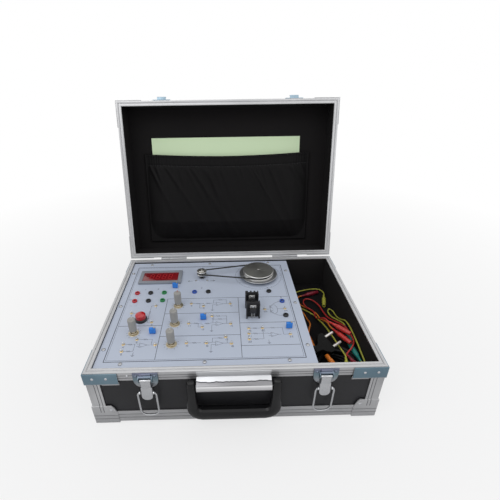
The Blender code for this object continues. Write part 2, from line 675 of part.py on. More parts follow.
def make_inside(case, finishes):
    """What the panel hides: the wooden frame, the transformer and the drives."""
    inner_x = CASE_W / 2 - RAIL_T - GAP - PLY_T
    inner_y = CASE_D / 2 - RAIL_T - GAP - PLY_T
    floor = RAIL_T + FLOOR_T + 2 * GAP
    under = PANEL_Z - PANEL_T - GAP
    bm = bmesh.new()
    box(bm, (WALL_X - PLY_T, -inner_y + GAP, floor), (WALL_X, inner_y - GAP, under))
    frame = piece("inner_frame", bm, finishes["wood"], case)
    bars = bmesh.new()
    box(bars, (WALL_X - MM, -inner_y + GAP, INNER_FLOOR_Z - PLY_T),
        (inner_x - GAP, inner_y - GAP, INNER_FLOOR_Z))
    for side in (-1, 1):
        low, high = sorted((side * (inner_y - GAP), side * (inner_y - BATTEN_W)))
        box(bars, (-inner_x + GAP, low, under - BATTEN_W), (WALL_X - PLY_T + MM, high, under))
    side_y = inner_y - BATTEN_W + MM
    box(bars, (-inner_x + GAP, -side_y, under - BATTEN_W + MM), (-inner_x + BATTEN_W, side_y, under))
    combine(frame, bars, "UNION")

    bm = bmesh.new()
    box(bm, (20 * MM, -5 * MM, floor), (76 * MM, 39 * MM, floor + 44 * MM))
    feet = bmesh.new()
    box(feet, (10 * MM, 5 * MM, floor), (86 * MM, 29 * MM, floor + 3 * MM))
    combine(piece("transformer", bm, finishes["iron"], case), feet, "UNION")

    x, y = MOTOR_PLACE[0] * MM, MOTOR_PLACE[1] * MM
    bm = bmesh.new()
    hub = under - 2 * MM
    turned(bm, [
        (0, hub - MOTOR_CAN_H), (MOTOR_CAN_R - 2 * MM, hub - MOTOR_CAN_H),
        (MOTOR_CAN_R, hub - MOTOR_CAN_H + 2 * MM),
        (MOTOR_CAN_R, hub), (5 * MM, hub), (5 * MM, PANEL_Z - 0.5 * MM),
        (MOTOR_SHAFT_R + GAP, PANEL_Z - 0.5 * MM),
        (MOTOR_SHAFT_R + GAP, hub - 12 * MM), (0, hub - 12 * MM),
    ], 16, x, y)
    piece("dc_motor", bm, finishes["steel"], case)

    x, y = DISC_PLACE[0] * MM, DISC_PLACE[1] * MM
    bm = bmesh.new()
    turned(bm, [
        (0, under - 24 * MM), (12 * MM, under - 24 * MM), (12 * MM, under), (6 * MM, under),
        (6 * MM, PANEL_Z + 2 * MM), (DISC_SHAFT_R + GAP, PANEL_Z + 2 * MM),
        (DISC_SHAFT_R + GAP, under - 18 * MM),
        (0, under - 18 * MM),
    ], 16, x, y)
    piece("angle_sensor", bm, finishes["dark_metal"], case)


def make_panel(case, finishes):
    """The control panel with its holes, and the meter."""
    bm = bmesh.new()
    box(bm, (PANEL_X0, -PANEL_Y, PANEL_Z - PANEL_T), (PANEL_X1, PANEL_Y, PANEL_Z))
    panel = piece("control_panel", bm, finishes["panel"], case)
    holes = bmesh.new()
    low, high = PANEL_Z - PANEL_T - MM, PANEL_Z + MM
    for x, y in SOCKET_PLACES:
        rod(holes, SOCKET_STEM_R + GAP, low, high, 8, x * MM, y * MM)
    for x, y in TEST_PLACES:
        rod(holes, TEST_R + 2 * GAP, low, high, 4, x * MM, y * MM)
    for x, y in KNOB_PLACES:
        rod(holes, BUSH_R + GAP, low, high, 8, x * MM, y * MM)
    rod(holes, COLLAR_R - 2 * MM, low, high, 12, BUTTON_PLACE[0] * MM, BUTTON_PLACE[1] * MM)
    rod(holes, 5.4 * MM, low, high, 12, MOTOR_PLACE[0] * MM, MOTOR_PLACE[1] * MM)
    rod(holes, 6.4 * MM, low, high, 12, DISC_PLACE[0] * MM, DISC_PLACE[1] * MM)
    for x, y in TRIMMER_PLACES:
        rod(holes, TRIMMER_LEG_R + GAP, low, high, 6, x * MM, y * MM)
    x, y = METER_CENTRE
    half_w, half_d = METER_W / 2 - 2 * MM, METER_D / 2 - 2 * MM
    box(holes, (x - half_w, y - half_d, low), (x + half_w, y + half_d, high))
    for x, y in SINK_PLACES.values():
        middle = y * MM - SINK_WEB_T - CHIP_T / 2 - GAP
        box(holes, (x * MM - 3.6 * MM, middle - MM, low), (x * MM + 3.6 * MM, middle + MM, high))
    combine(panel, holes, "DIFFERENCE")

    x, y = METER_CENTRE
    half_w, half_d = METER_W / 2, METER_D / 2
    bm = bmesh.new()
    box(bm, (x - half_w, y - half_d, PANEL_Z + GAP), (x + half_w, y + half_d, PANEL_Z + METER_H))
    body = bmesh.new()
    half_w, half_d = half_w - 3 * MM, half_d - 3 * MM
    box(body, (x - half_w, y - half_d, PANEL_Z - METER_BODY_D), (x + half_w, y + half_d, PANEL_Z + MM))
    housing = piece("meter_housing", bm, finishes["meter_grey"], case)
    combine(housing, body, "UNION")
    half_w, half_d = METER_W / 2 - METER_LIP, METER_D / 2 - METER_LIP
    well = bmesh.new()
    box(well, (x - half_w, y - half_d, PANEL_Z + MM), (x + half_w, y + half_d, PANEL_Z + METER_H + MM))
    combine(housing, well, "DIFFERENCE")
    half_w, half_d = half_w - GAP, half_d - GAP
    bm = bmesh.new()
    box(bm, (x - half_w, y - half_d, PANEL_Z + MM + GAP),
        (x + half_w, y + half_d, PANEL_Z + METER_H - 0.8 * MM))
    piece("meter_window", bm, finishes["red_window"], case)


def make_board(case, finishes):
    """The circuit board with what is soldered to it and comes up through the panel.

    These are the potentiometers, 4 mm sockets, test pins and trimmers, and four spacers under the panel.
    """
    top = PANEL_Z - PANEL_T - GAP - POT_H
    seat = top - BOARD_T / 2
    under = PANEL_Z - PANEL_T - GAP
    low, high = BOARD_SPAN
    bm = bmesh.new()
    box(bm, (*low, top - BOARD_T), (*high, top))
    board = piece("circuit_board", bm, finishes["board"], case)
    soldered = bmesh.new()
    for x in (low[0] + 8 * MM, high[0] - 8 * MM):
        for y in (low[1] + 8 * MM, high[1] - 8 * MM):
            rod(soldered, 3 * MM, seat, under, 6, x, y)
    for x, y in KNOB_PLACES:
        nut = PANEL_Z + GAP
        turned(soldered, [
            (0, seat), (POT_R, seat), (POT_R, under), (BUSH_R, under), (BUSH_R, nut), (NUT_R, nut),
            (NUT_R, nut + NUT_H), (KNOB_TURN_R, nut + NUT_H), (KNOB_TURN_R, PANEL_Z + TURN_TOP),
            (0, PANEL_Z + TURN_TOP),
        ], 8, x * MM, y * MM)
    for x, y in SOCKET_PLACES:
        head = PANEL_Z + SOCKET_H
        turned(soldered, [
            (0, seat), (SOCKET_STEM_R, seat), (SOCKET_STEM_R, PANEL_Z + GAP), (SOCKET_R, PANEL_Z + GAP),
            (SOCKET_R, head), (SOCKET_BORE_R, head), (SOCKET_BORE_R, head - SOCKET_DEPTH),
            (0, head - SOCKET_DEPTH),
        ], 8, x * MM, y * MM)
    for x, y in TEST_PLACES:
        rod(soldered, TEST_R, seat, PANEL_Z + TEST_H, 4, x * MM, y * MM)
    legs = bmesh.new()
    for x, y in TRIMMER_PLACES:
        x, y = x * MM, y * MM
        foot = (x - TRIMMER_W / 2, y - TRIMMER_D / 2, PANEL_Z + GAP)
        box(soldered, foot, (x + TRIMMER_W / 2, y + TRIMMER_D / 2, PANEL_Z + TRIMMER_H))
        rod(legs, TRIMMER_LEG_R, seat, PANEL_Z + MM, 6, x, y)
    combine(board, soldered, "UNION")
    combine(board, legs, "UNION")


def make_controls(case, finishes):
    """The push button in its collar, the knobs and the trimmers' screws."""
    x, y = BUTTON_PLACE[0] * MM, BUTTON_PLACE[1] * MM
    bm = bmesh.new()
    turned(bm, [
        (0, PANEL_Z - 12 * MM), (COLLAR_R - 2.4 * MM, PANEL_Z - 12 * MM),
        (COLLAR_R - 2.4 * MM, PANEL_Z + GAP),
        (COLLAR_R, PANEL_Z + GAP), (COLLAR_R, PANEL_Z + COLLAR_H - MM), (COLLAR_R - MM, PANEL_Z + COLLAR_H),
        (BUTTON_R + GAP, PANEL_Z + COLLAR_H), (BUTTON_R + GAP, PANEL_Z + 1.6 * MM),
        (4 * MM, PANEL_Z + 1.6 * MM),
        (4 * MM, PANEL_Z - 8 * MM), (0, PANEL_Z - 8 * MM),
    ], 16, x, y)
    piece("button_collar", bm, finishes["black_plastic"], case)
    bm = bmesh.new()
    low = 1.6 * MM + GAP + BUTTON_TRAVEL
    turned(bm, [
        (0, -3 * MM), (3.4 * MM, -3 * MM), (3.4 * MM, low), (BUTTON_R, low),
        (BUTTON_R, BUTTON_TOP - 2.5 * MM),
        (BUTTON_R * 0.82, BUTTON_TOP - 0.7 * MM), (BUTTON_R * 0.45, BUTTON_TOP), (0, BUTTON_TOP),
    ], 16)
    piece("button_cap", bm, finishes["red_plastic"], case, (x, y, PANEL_Z))

    for index, (x, y) in enumerate(KNOB_PLACES, start=1):
        bm = bmesh.new()
        knob_body(bm)
        piece(f"knob_{index}", bm, finishes["grey_plastic"], case, (x * MM, y * MM, PANEL_Z))
    for index, (x, y) in enumerate(TRIMMER_PLACES, start=1):
        bm = bmesh.new()
        rod(bm, TRIMMER_SCREW_R, GAP, TRIMMER_SCREW_H, 8)
        place = (x * MM + TRIMMER_SCREW_DX, y * MM, PANEL_Z + TRIMMER_H)
        slotted = piece(f"trimmer_screw_{index}", bm, finishes["brass"], case, place)
        slot = bmesh.new()
        reach = 2 * TRIMMER_SCREW_R
        box(slot, (-reach, -GAP, TRIMMER_SCREW_H - 0.6 * MM), (reach, GAP, TRIMMER_SCREW_H + MM))
        combine(slotted, slot, "DIFFERENCE")


def knob_body(bm):
    """A tall fluted knob over a plain skirt, with a bore from below for the turning shaft."""
    sides = 16
    flute = 0.93
    skirt_top = KNOB_BASE + KNOB_SKIRT_H
    profile = [
        (KNOB_SKIRT_R, KNOB_BASE, 1), (KNOB_SKIRT_R, skirt_top - MM, 1), (KNOB_R, skirt_top, 1),
        (KNOB_R * 0.94, KNOB_TOP - 3 * MM, flute), (KNOB_R * 0.8, KNOB_TOP - MM, 1),
        (KNOB_R * 0.5, KNOB_TOP, 1),
    ]
    rings = []
    for radius, height, shrink in profile:
        ring = []
        for step, (x, y) in enumerate(circle(1, sides)):
            reach = radius * (shrink if step % 2 else 1)
            ring.append(bm.verts.new((x * reach, y * reach, height)))
        rings.append(ring)
    floor = KNOB_TOP - 10 * MM
    rings.insert(0, [bm.verts.new((x, y, KNOB_BASE)) for x, y in circle(KNOB_BORE_R, sides)])
    rings.insert(0, [bm.verts.new((x, y, floor)) for x, y in circle(KNOB_BORE_R, sides)])
    for one, two in zip(rings, rings[1:]):
        for step in range(sides):
            after = (step + 1) % sides
            bm.faces.new((one[step], one[after], two[after], two[step]))
    bm.faces.new(rings[0])
    bm.faces.new(rings[-1])


def make_drive(case, finishes):
    """The motor's pulley, the stepped angle disc and the round belt that joins them."""
    motor_x, motor_y = MOTOR_PLACE[0] * MM, MOTOR_PLACE[1] * MM
    disc_x, disc_y = DISC_PLACE[0] * MM, DISC_PLACE[1] * MM
    clear = BELT_R + GAP
    groove = clear + 0.2 * MM
    bm = bmesh.new()
    bottom = PULLEY_RUN - clear
    turned(bm, [
        (0, -12 * MM), (MOTOR_SHAFT_R, -12 * MM), (MOTOR_SHAFT_R, 3 * MM), (4.5 * MM, 3 * MM),
        (4.5 * MM, BELT_Z - groove - 1.6 * MM), (PULLEY_R, BELT_Z - groove - 1.6 * MM),
        (PULLEY_R, BELT_Z - groove), (bottom, BELT_Z - groove), (bottom, BELT_Z + groove),
        (PULLEY_R, BELT_Z + groove), (PULLEY_R, PULLEY_TOP - 1.6 * MM), (PULLEY_R - 2 * MM, PULLEY_TOP),
        (0, PULLEY_TOP),
    ], 16)
    piece("motor_pulley", bm, finishes["bright_steel"], case, (motor_x, motor_y, PANEL_Z))

    bm = bmesh.new()
    bottom = DISC_RUN - clear
    turned(bm, [
        (0, -14 * MM), (DISC_SHAFT_R, -14 * MM), (DISC_SHAFT_R, 3 * MM), (9 * MM, 3 * MM),
        (9 * MM, FLANGE_Z),
        (FLANGE_R, FLANGE_Z), (FLANGE_R, FLANGE_Z + 1.6 * MM),
        (FLANGE_R - 2.4 * MM, BELT_Z - groove), (bottom, BELT_Z - groove), (bottom, BELT_Z + groove),
        (DISC_R, BELT_Z + groove), (DISC_R, DISC_TOP), (0, DISC_TOP),
    ], 30)
    piece("angle_disc", bm, finishes["bright_steel"], case, (disc_x, disc_y, PANEL_Z))

    span = disc_x - motor_x
    lean = math.acos((PULLEY_RUN - DISC_RUN) / span)
    route = []
    for centre, radius, start, end, steps in (
        (0, PULLEY_RUN, lean, 2 * math.pi - lean, 9), (span, DISC_RUN, -lean, lean, 18),
    ):
        for step in range(steps + 1):
            turn = start + (end - start) * step / steps
            route.append((centre + radius * math.cos(turn), radius * math.sin(turn), 0))
    place = (motor_x, motor_y, PANEL_Z + BELT_Z)
    tube("drive_belt", route, BELT_R, finishes["rubber"], case, 1, closed=True, place=place)


def make_power_stage(case, finishes):
    """Two upright U-shaped heat sinks, each with a power transistor on the front of its web."""
    half = SINK_W / 2
    fin = 3.2 * MM
    shape = [
        (-half, -SINK_FLANGE), (-half + SINK_WEB_T, -SINK_FLANGE), (-half + SINK_WEB_T, -SINK_WEB_T),
        (half - SINK_WEB_T, -SINK_WEB_T), (half - SINK_WEB_T, -SINK_FLANGE), (half, -SINK_FLANGE),
        (half, fin),
    ]
    for step in range(3):
        right = half - fin / 2 - step * (SINK_W - fin) / 3
        shape += [(right, fin), (right, 0), (right - fin, 0), (right - fin, fin)]
    shape += [(-half, fin)]
    for name, (x, y) in SINK_PLACES.items():
        x, y = x * MM, y * MM
        sink, chip, tab, legs = (bmesh.new() for _ in range(4))
        prism(sink, [(x + a, y + b) for a, b in shape], PANEL_Z + GAP, PANEL_Z + SINK_H)
        piece(f"{name}_heat_sink", sink, finishes["black_metal"], case)
        back = y - SINK_WEB_T - GAP
        low = PANEL_Z + CHIP_LOW
        top = low + CHIP_H
        box(chip, (x - TAB_W / 2, back - CHIP_T, low), (x + TAB_W / 2, back, top))
        made = piece(f"{name}_power_transistor", chip, finishes["steel"], case)
        box(tab, (x - TAB_W / 2, back - TAB_T, top - MM), (x + TAB_W / 2, back, top + TAB_H))
        combine(made, tab, "UNION")
        middle = back - CHIP_T / 2
        for step in (-1, 0, 1):
            leg = x + step * LEG_PITCH
            box(legs, (leg - LEG_W / 2, middle - LEG_W / 2, PANEL_Z - 6 * MM),
                (leg + LEG_W / 2, middle + LEG_W / 2, low + MM))
        combine(made, legs, "UNION")


def make_lid(lid, finishes):
    """The lid's shell, fittings, keepers, pocket and booklet, modelled shut."""
    half_w, half_d = CASE_W / 2, CASE_D / 2
    skin = RAIL_T + GAP
    inner = skin + PLY_T
    rim = BASE_H + PARTING
    top = rim + LID_H
    tray(
        "lid_shell", finishes["laminate"], lid, (-half_w + skin, -half_d + skin, rim + RIM_WEB + GAP),
        (half_w - skin, half_d - skin, top - skin), (-half_w + inner, -half_d + inner, rim),
        (half_w - inner, half_d - inner, top - skin - FLOOR_T),
    )
    bm = bmesh.new()
    rail_loop(bm, half_w, half_d, rim_profile(rim, 1))
    piece("lid_rim_rails", bm, finishes["aluminium"], lid)
    edge_rails("lid_edge_rails", lid, finishes["aluminium"], top, -1, (LID_EDGE_FACE, LID_CAP_H, rim))

    hook = [
        (-0.3, 1.2), (-1.5, 1.2), (-1.5, 3), (-5.4, 3.6), (-6.6, 5), (-6.6, 9), (-5.4, 9), (-5.2, 5.6),
        (-1.5, 4.8), (-1.5, 12), (-0.3, 12),
    ]
    hook = [(y * MM, z * MM) for y, z in hook]
    for side, x in LATCH_XS.items():
        bm, plate = bmesh.new(), bmesh.new()
        prism(bm, hook, x - 8 * MM, x + 8 * MM, along_x(0, -half_d, rim))
        box(plate, (x - 16 * MM, -half_d - 1.5 * MM, rim + 1.2 * MM),
            (x + 16 * MM, -half_d - GAP, rim + 12 * MM))
        combine(piece(f"{side}_latch_keeper", bm, finishes["bright_steel"], lid), plate, "UNION")

    ceiling = top - skin - FLOOR_T
    bm = bmesh.new()
    low = half_d - BOOKLET_S0 - BOOKLET_LEN
    box(bm, (BOOKLET_X - BOOKLET_W / 2, low, ceiling - GAP - BOOKLET_T),
        (BOOKLET_X + BOOKLET_W / 2, half_d - BOOKLET_S0, ceiling - GAP))
    piece("booklet", bm, finishes["green_card"], lid)
    pocket(lid, finishes["satin"], ceiling)


def pocket(lid, finish, ceiling):
    """A gathered cloth pocket, sewn down on three sides, with folds that lean to the right."""
    across, along = 30, 8
    ups = [0, 0.01] + [(row + 1) / along for row in range(along)]
    hem = BOOKLET_T + 3 * GAP
    outer, inner = [], []
    bm = bmesh.new()
    for up in ups:
        outer.append([])
        inner.append([])
        for column in range(across + 1):
            share = column / across
            edge = 1 - abs(2 * share - 1)
            x = POCKET_X0 + (POCKET_X1 - POCKET_X0) * share
            s = POCKET_S0 + (POCKET_S1 - POCKET_SAG * math.sin(math.pi * share) - POCKET_S0) * up
            swell = min(1.0, (edge * 5) ** 0.6) * min(1.0, (up * 4) ** 0.7)
            fold = math.cos(2 * math.pi * POCKET_FOLDS * (share + 0.1 * up)) * min(1, 0.35 + up)
            fold *= POCKET_FOLD * min(1, edge * 6) * min(1, up * 5)
            lift = (POCKET_BULGE - 4 * MM * up ** 3) * swell + fold
            sewn = up == 0 or edge == 0
            lift = GAP + (0 if sewn else max(lift, hem))
            y = CASE_D / 2 - s
            inner[-1].append(bm.verts.new((x, y, ceiling - lift)))
            outer[-1].append(bm.verts.new((x, y, ceiling - lift - POCKET_T)))
    for sheet in (outer, inner):
        for low, high in zip(sheet, sheet[1:]):
            for column in range(across):
                bm.faces.new((low[column], low[column + 1], high[column + 1], high[column]))
    last = len(ups) - 1
    rim = [(0, column) for column in range(across)] + [(row, across) for row in range(last)]
    rim += [(last, column) for column in range(across, 0, -1)] + [(row, 0) for row in range(last, 0, -1)]
    for (row, column), (row_on, column_on) in zip(rim, rim[1:] + rim[:1]):
        bm.faces.new((
            outer[row][column], outer[row_on][column_on], inner[row_on][column_on], inner[row][column],
        ))
    piece("lid_pocket", bm, finish, lid)


def smooth(points, count):
    """Read a number of places from a smooth curve that runs through the given points."""
    ends = [2 * points[0] - points[1]] + points + [2 * points[-1] - points[-2]]
    lengths = [0.0]
    for one, two in zip(points, points[1:]):
        lengths.append(lengths[-1] + (two - one).length)
    read = []
    for step in range(count):
        want = lengths[-1] * step / (count - 1)
        index = max(i for i in range(len(points) - 1) if lengths[i] <= want + 1e-12)
        part = (want - lengths[index]) / (lengths[index + 1] - lengths[index])
        a, b, c, d = ends[index:index + 4]
        read.append(0.5 * (
            2 * b + (c - a) * part + (2 * a - 5 * b + 4 * c - d) * part ** 2
            + (3 * b - 3 * c + d - a) * part ** 3
        ))
    return read


def plug_rear(name, out=0.0):
    """Where a patch plug's lead leaves it, and a little way out along the lead."""
    (x, y, z), (way_x, way_y) = PLUGS[name]
    way = Vector((way_x, way_y, 0)).normalized()
    return Vector((x, y, z)) * MM - way * (PATCH_LEN / 2 * MM + out)


def coil_route():
    """The coil's loops: out to in and back, layer by layer, climbing where the spiral turns round."""
    turns = COIL_TURNS_PER_LAYER * COIL_LAYERS
    count = round(turns * COIL_POINTS)
    floor = INNER_FLOOR_Z + GAP + CORD_R
    route = []
    for step in range(count + 1):
        done = turns * step / count
        layer, inside = divmod(done, COIL_TURNS_PER_LAYER)
        if layer == COIL_LAYERS:
            layer, inside = COIL_LAYERS - 1, COIL_TURNS_PER_LAYER
        inwards = inside if layer % 2 == 0 else COIL_TURNS_PER_LAYER - inside
        radius = COIL_R_OUT - COIL_PITCH * inwards
        height = layer
        if inside > COIL_TURNS_PER_LAYER - 0.25 and layer < COIL_LAYERS - 1:
            height += (inside - COIL_TURNS_PER_LAYER + 0.25) * 2
        if inside < 0.25 and layer > 0:
            height -= (0.25 - inside) * 2
        turn = COIL_START - 2 * math.pi * done
        route.append(Vector((
            COIL_CENTRE[0] + radius * math.cos(turn), COIL_CENTRE[1] + radius * math.sin(turn),
            floor + height * COIL_RISE,
        )))
    straight = Vector((2 * CORD_R, 0, 0))
    return [route[0] - straight] + route + [route[-1] - straight]


def coil_gap(route):
    """The least gap between the coil's tube and itself, from its points to its later runs."""
    least = 1.0
    apart = COIL_POINTS // 2
    for index, point in enumerate(route):
        for one, two in zip(route[index + apart:], route[index + apart + 1:]):
            run = two - one
            share = min(max((point - one).dot(run) / run.length_squared, 0), 1)
            least = min(least, (point - one - run * share).length)
    return least - 2 * CORD_R


def make_mains_lead(case, finishes):
    """The mains lead: gland, coil on the compartment's floor, free end and plug."""
    route = coil_route()
    print(f"mains_coil: least gap to itself {coil_gap(route) / MM:.2f} mm")
    finish = finishes["black_cord"]
    tube("mains_coil", route, CORD_R, finish, case, 1)

    gland_x, gland_y, gland_z = GLAND_PLACE
    nose = gland_x + GLAND_LEN
    start = route[0] - Vector((GAP, 0, 0))
    tail = [
        Vector((nose - 3 * MM, gland_y, gland_z)), Vector((nose + 1 * MM, gland_y, gland_z)),
        Vector(((nose + start.x) / 2, (gland_y + start.y) / 2, (gland_z + start.z) / 2)),
        start - Vector((4 * MM, 0, -0.3 * MM)), start,
    ]
    gland = piece("cord_gland", tube_shape("cord_gland", smooth(tail, 8), CORD_R, finish, case),
        finish, case)
    nut = bmesh.new()
    turned(nut, [
        (0, 0), (GLAND_R, 0), (GLAND_R, GLAND_LEN * 0.45), (GLAND_R * 0.8, GLAND_LEN * 0.55),
        (CORD_R + 1.2 * MM, GLAND_LEN), (0, GLAND_LEN),
    ], 8)
    facing = Matrix.Translation(GLAND_PLACE) @ Matrix.Rotation(math.pi / 2, 4, "Y")
    bmesh.ops.transform(nut, matrix=facing, verts=nut.verts)
    combine(gland, nut, "UNION")

    way = Vector(PLUG_WAY).normalized()
    base = Vector(PLUG_BASE) * MM
    rear = base - way * (PLUG_LEN + GAP)
    end = route[-1] - Vector((GAP, 0, 0))
    tail = [end, end + Vector((-5 * MM, 0, 0.4 * MM))]
    tail += [Vector(place) * MM for place in CORD_TOP]
    tail += [rear - way * 5 * MM, rear]
    tube("mains_cord", smooth(tail, 16), CORD_R, finish, case, 2)

    aim = way.to_track_quat("X", "Z").to_matrix().to_4x4()
    turn = Matrix.Translation(base) @ aim @ Matrix.Rotation(PLUG_ROLL, 4, "X")
    bm, pins = bmesh.new(), bmesh.new()
    half, neck = PLUG_W / 2, CORD_R + 1.4 * MM
    outline = [
        (0, -half + 2 * MM), (0, half - 2 * MM), (-2 * MM, half), (-8 * MM, half),
        (-18 * MM, neck + 2 * MM),
        (-PLUG_LEN, neck), (-PLUG_LEN, -neck), (-18 * MM, -neck - 2 * MM), (-8 * MM, -half),
        (-2 * MM, -half),
    ]
    prism(bm, outline, -PLUG_T / 2, PLUG_T / 2, turn)
    for side in (-1, 1):
        pin = turn @ Matrix.Translation((0, side * PIN_GAP / 2, 0)) @ Matrix.Rotation(math.pi / 2, 4, "Y")
        rod(pins, PIN_R, -4 * MM, PIN_LEN, 8, place=pin)
    combine(piece("mains_plug", bm, finishes["black_plastic"], case), pins, "UNION")


def make_patch_leads(case, finishes):
    """Five patch leads, each one flexible body with a moulded 4 mm plug at both ends."""
    length, radius = PATCH_LEN * MM, PATCH_R * MM
    shape = [
        (0, -length / 2), (radius * 0.45, -length / 2), (radius, -length * 0.1), (radius, length * 0.3),
        (radius * 0.85, length / 2), (0, length / 2),
    ]
    for name, (one, two, places) in LEADS.items():
        points = [Vector(place) * MM for place in places]
        points = [plug_rear(one, -2 * MM), plug_rear(one, 4 * MM)] + points
        points += [plug_rear(two, 4 * MM), plug_rear(two, -2 * MM)]
        route = smooth(points, max(LEAD_POINTS, len(points) + 2))
        finish = finishes[name.split("_")[0] + "_lead"]
        lead = piece(name, tube_shape(name, route, LEAD_R, finish, case), finish, case)
        plugs = bmesh.new()
        for place, way in (PLUGS[one], PLUGS[two]):
            before = set(plugs.verts)
            turned(plugs, shape, 8)
            aim = Vector((*way, 0)).to_track_quat("Z", "Y").to_matrix().to_4x4()
            added = [vert for vert in plugs.verts if vert not in before]
            bmesh.ops.transform(plugs, matrix=Matrix.Translation(Vector(place) * MM) @ aim, verts=added)
        combine(lead, plugs, "UNION")


def build():
    """Clear the scene and make the whole trainer, stood on its feet at the middle of its footprint."""
    for old in list(bpy.data.objects):
        bpy.data.objects.remove(old)
    finishes = {name: material(name, *values) for name, values in FINISHES.items()}
    back = CASE_D / 2 + HINGE_BACK + lid_reach()
    front = -CASE_D / 2 - front_reach()
    case = empty("case", (0, -(front + back) / 2, FOOT_H))
    axis = Vector((0, CASE_D / 2 + HINGE_BACK, BASE_H + HINGE_UP))
    hinge = empty("lid_hinge", axis, case, -LID_OPEN)
    lid = empty("lid", -axis, hinge)
    make_base(case, finishes)
    make_handle(case, finishes)
    make_latches(case, finishes)
    make_hinges(case, lid, finishes)
    make_inside(case, finishes)
    make_panel(case, finishes)
    make_board(case, finishes)
    make_controls(case, finishes)
    make_drive(case, finishes)
    make_power_stage(case, finishes)
    make_lid(lid, finishes)
    make_mains_lead(case, finishes)
    make_patch_leads(case, finishes)
    print(f"case shift in y {case.location.y / MM:.3f} mm")


def lid_reach():
    """How far behind the hinge axis the open lid's farthest corner reaches."""
    out = GAP + PLATE_T
    far_y = -HINGE_BACK - CASE_D - out
    far_z = PARTING + LID_H + out - HINGE_UP
    return far_y * math.cos(LID_OPEN) + far_z * math.sin(LID_OPEN)


def front_reach():
    """How far in front of the case the handle's bracket reaches."""
    return HANDLE_OUT + ROLL_R


FINISHES = {
    "laminate": ((0.035, 0.034, 0.036), 0.6),
    "aluminium": ((0.68, 0.69, 0.7), 0.35, 1.0),
    "steel": ((0.55, 0.57, 0.6), 0.3, 1.0),
    "bright_steel": ((0.72, 0.73, 0.74), 0.18, 1.0),
    "brass": ((0.7, 0.52, 0.25), 0.3, 1.0),
    "dark_metal": ((0.12, 0.12, 0.13), 0.5, 0.8),
    "black_metal": ((0.02, 0.02, 0.02), 0.5, 0.5),
    "iron": ((0.2, 0.2, 0.21), 0.6, 0.7),
    "rubber": ((0.02, 0.02, 0.02), 0.8),
    "black_plastic": ((0.02, 0.02, 0.02), 0.4),
    "black_cord": ((0.02, 0.02, 0.02), 0.5),
    "grey_plastic": ((0.42, 0.42, 0.4), 0.5),
    "red_plastic": ((0.6, 0.02, 0.03), 0.35),
    "meter_grey": ((0.3, 0.32, 0.36), 0.5),
    "red_window": ((0.12, 0.005, 0.01), 0.1),
    "panel": ((0.55, 0.6, 0.7), 0.45),
    "wood": ((0.45, 0.33, 0.2), 0.7),
    "board": ((0.02, 0.2, 0.08), 0.5),
    "satin": ((0.02, 0.02, 0.022), 0.45),
    "green_card": ((0.6, 0.8, 0.5), 0.7),
    "yellow_lead": ((0.65, 0.6, 0.08), 0.5),
    "red_lead": ((0.55, 0.03, 0.04), 0.5),
    "dark_lead": ((0.3, 0.02, 0.05), 0.5),
    "teal_lead": ((0.02, 0.3, 0.28), 0.5),
    "orange_lead": ((0.75, 0.25, 0.03), 0.5),
}

build()
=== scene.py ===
"""The motor control trainer in its carrying case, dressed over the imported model."""

import json
import math
import random

import bmesh
import bpy
from mathutils import Matrix, Vector


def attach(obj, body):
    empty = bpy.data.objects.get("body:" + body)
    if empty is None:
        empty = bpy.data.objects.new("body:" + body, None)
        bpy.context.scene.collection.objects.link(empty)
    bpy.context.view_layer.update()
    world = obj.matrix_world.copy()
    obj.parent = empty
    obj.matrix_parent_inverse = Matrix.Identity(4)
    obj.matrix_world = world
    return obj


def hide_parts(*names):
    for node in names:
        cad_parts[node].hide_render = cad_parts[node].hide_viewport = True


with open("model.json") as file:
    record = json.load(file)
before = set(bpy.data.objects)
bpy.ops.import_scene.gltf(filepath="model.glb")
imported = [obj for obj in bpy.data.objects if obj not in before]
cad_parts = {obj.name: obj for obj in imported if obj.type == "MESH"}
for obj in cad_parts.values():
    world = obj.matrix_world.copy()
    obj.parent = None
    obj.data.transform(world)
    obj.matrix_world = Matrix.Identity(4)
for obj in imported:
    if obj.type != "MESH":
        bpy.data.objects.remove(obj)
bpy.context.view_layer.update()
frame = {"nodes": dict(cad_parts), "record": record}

MM = 0.001
CASE_MIDDLE_Y = -0.055107
CASE_SHIFT = Vector((0, CASE_MIDDLE_Y, 0.003))
BODY_OF = {node: body for body, nodes in frame["record"]["behaviour"]["bodies"].items() for node in nodes}
SLOT_OF = {part["node"]: part["material_slot"] for part in frame["record"]["subparts"]}
PANEL_TOP = 98.2


def at(x, y, z):
    """A point given in millimetres from the middle of the case's underside."""
    return Vector((x, y, z)) * MM + CASE_SHIFT


HINGE = at(0, 151.5, 101.65)
OPEN_ANGLE = math.radians(-103.8)
LID_OPEN = Matrix.Translation(HINGE) @ Matrix.Rotation(OPEN_ANGLE, 4, "X")
LID_MIDDLE = 0.1515  # from the hinge, across the shut lid


def in_lid(x, s, depth):
    """A point of the open lid: s from the hinge edge across it, depth from its rim inwards."""
    return LID_OPEN @ Vector((x * MM, -(2.5 + s) * MM, (0.25 + depth) * MM))


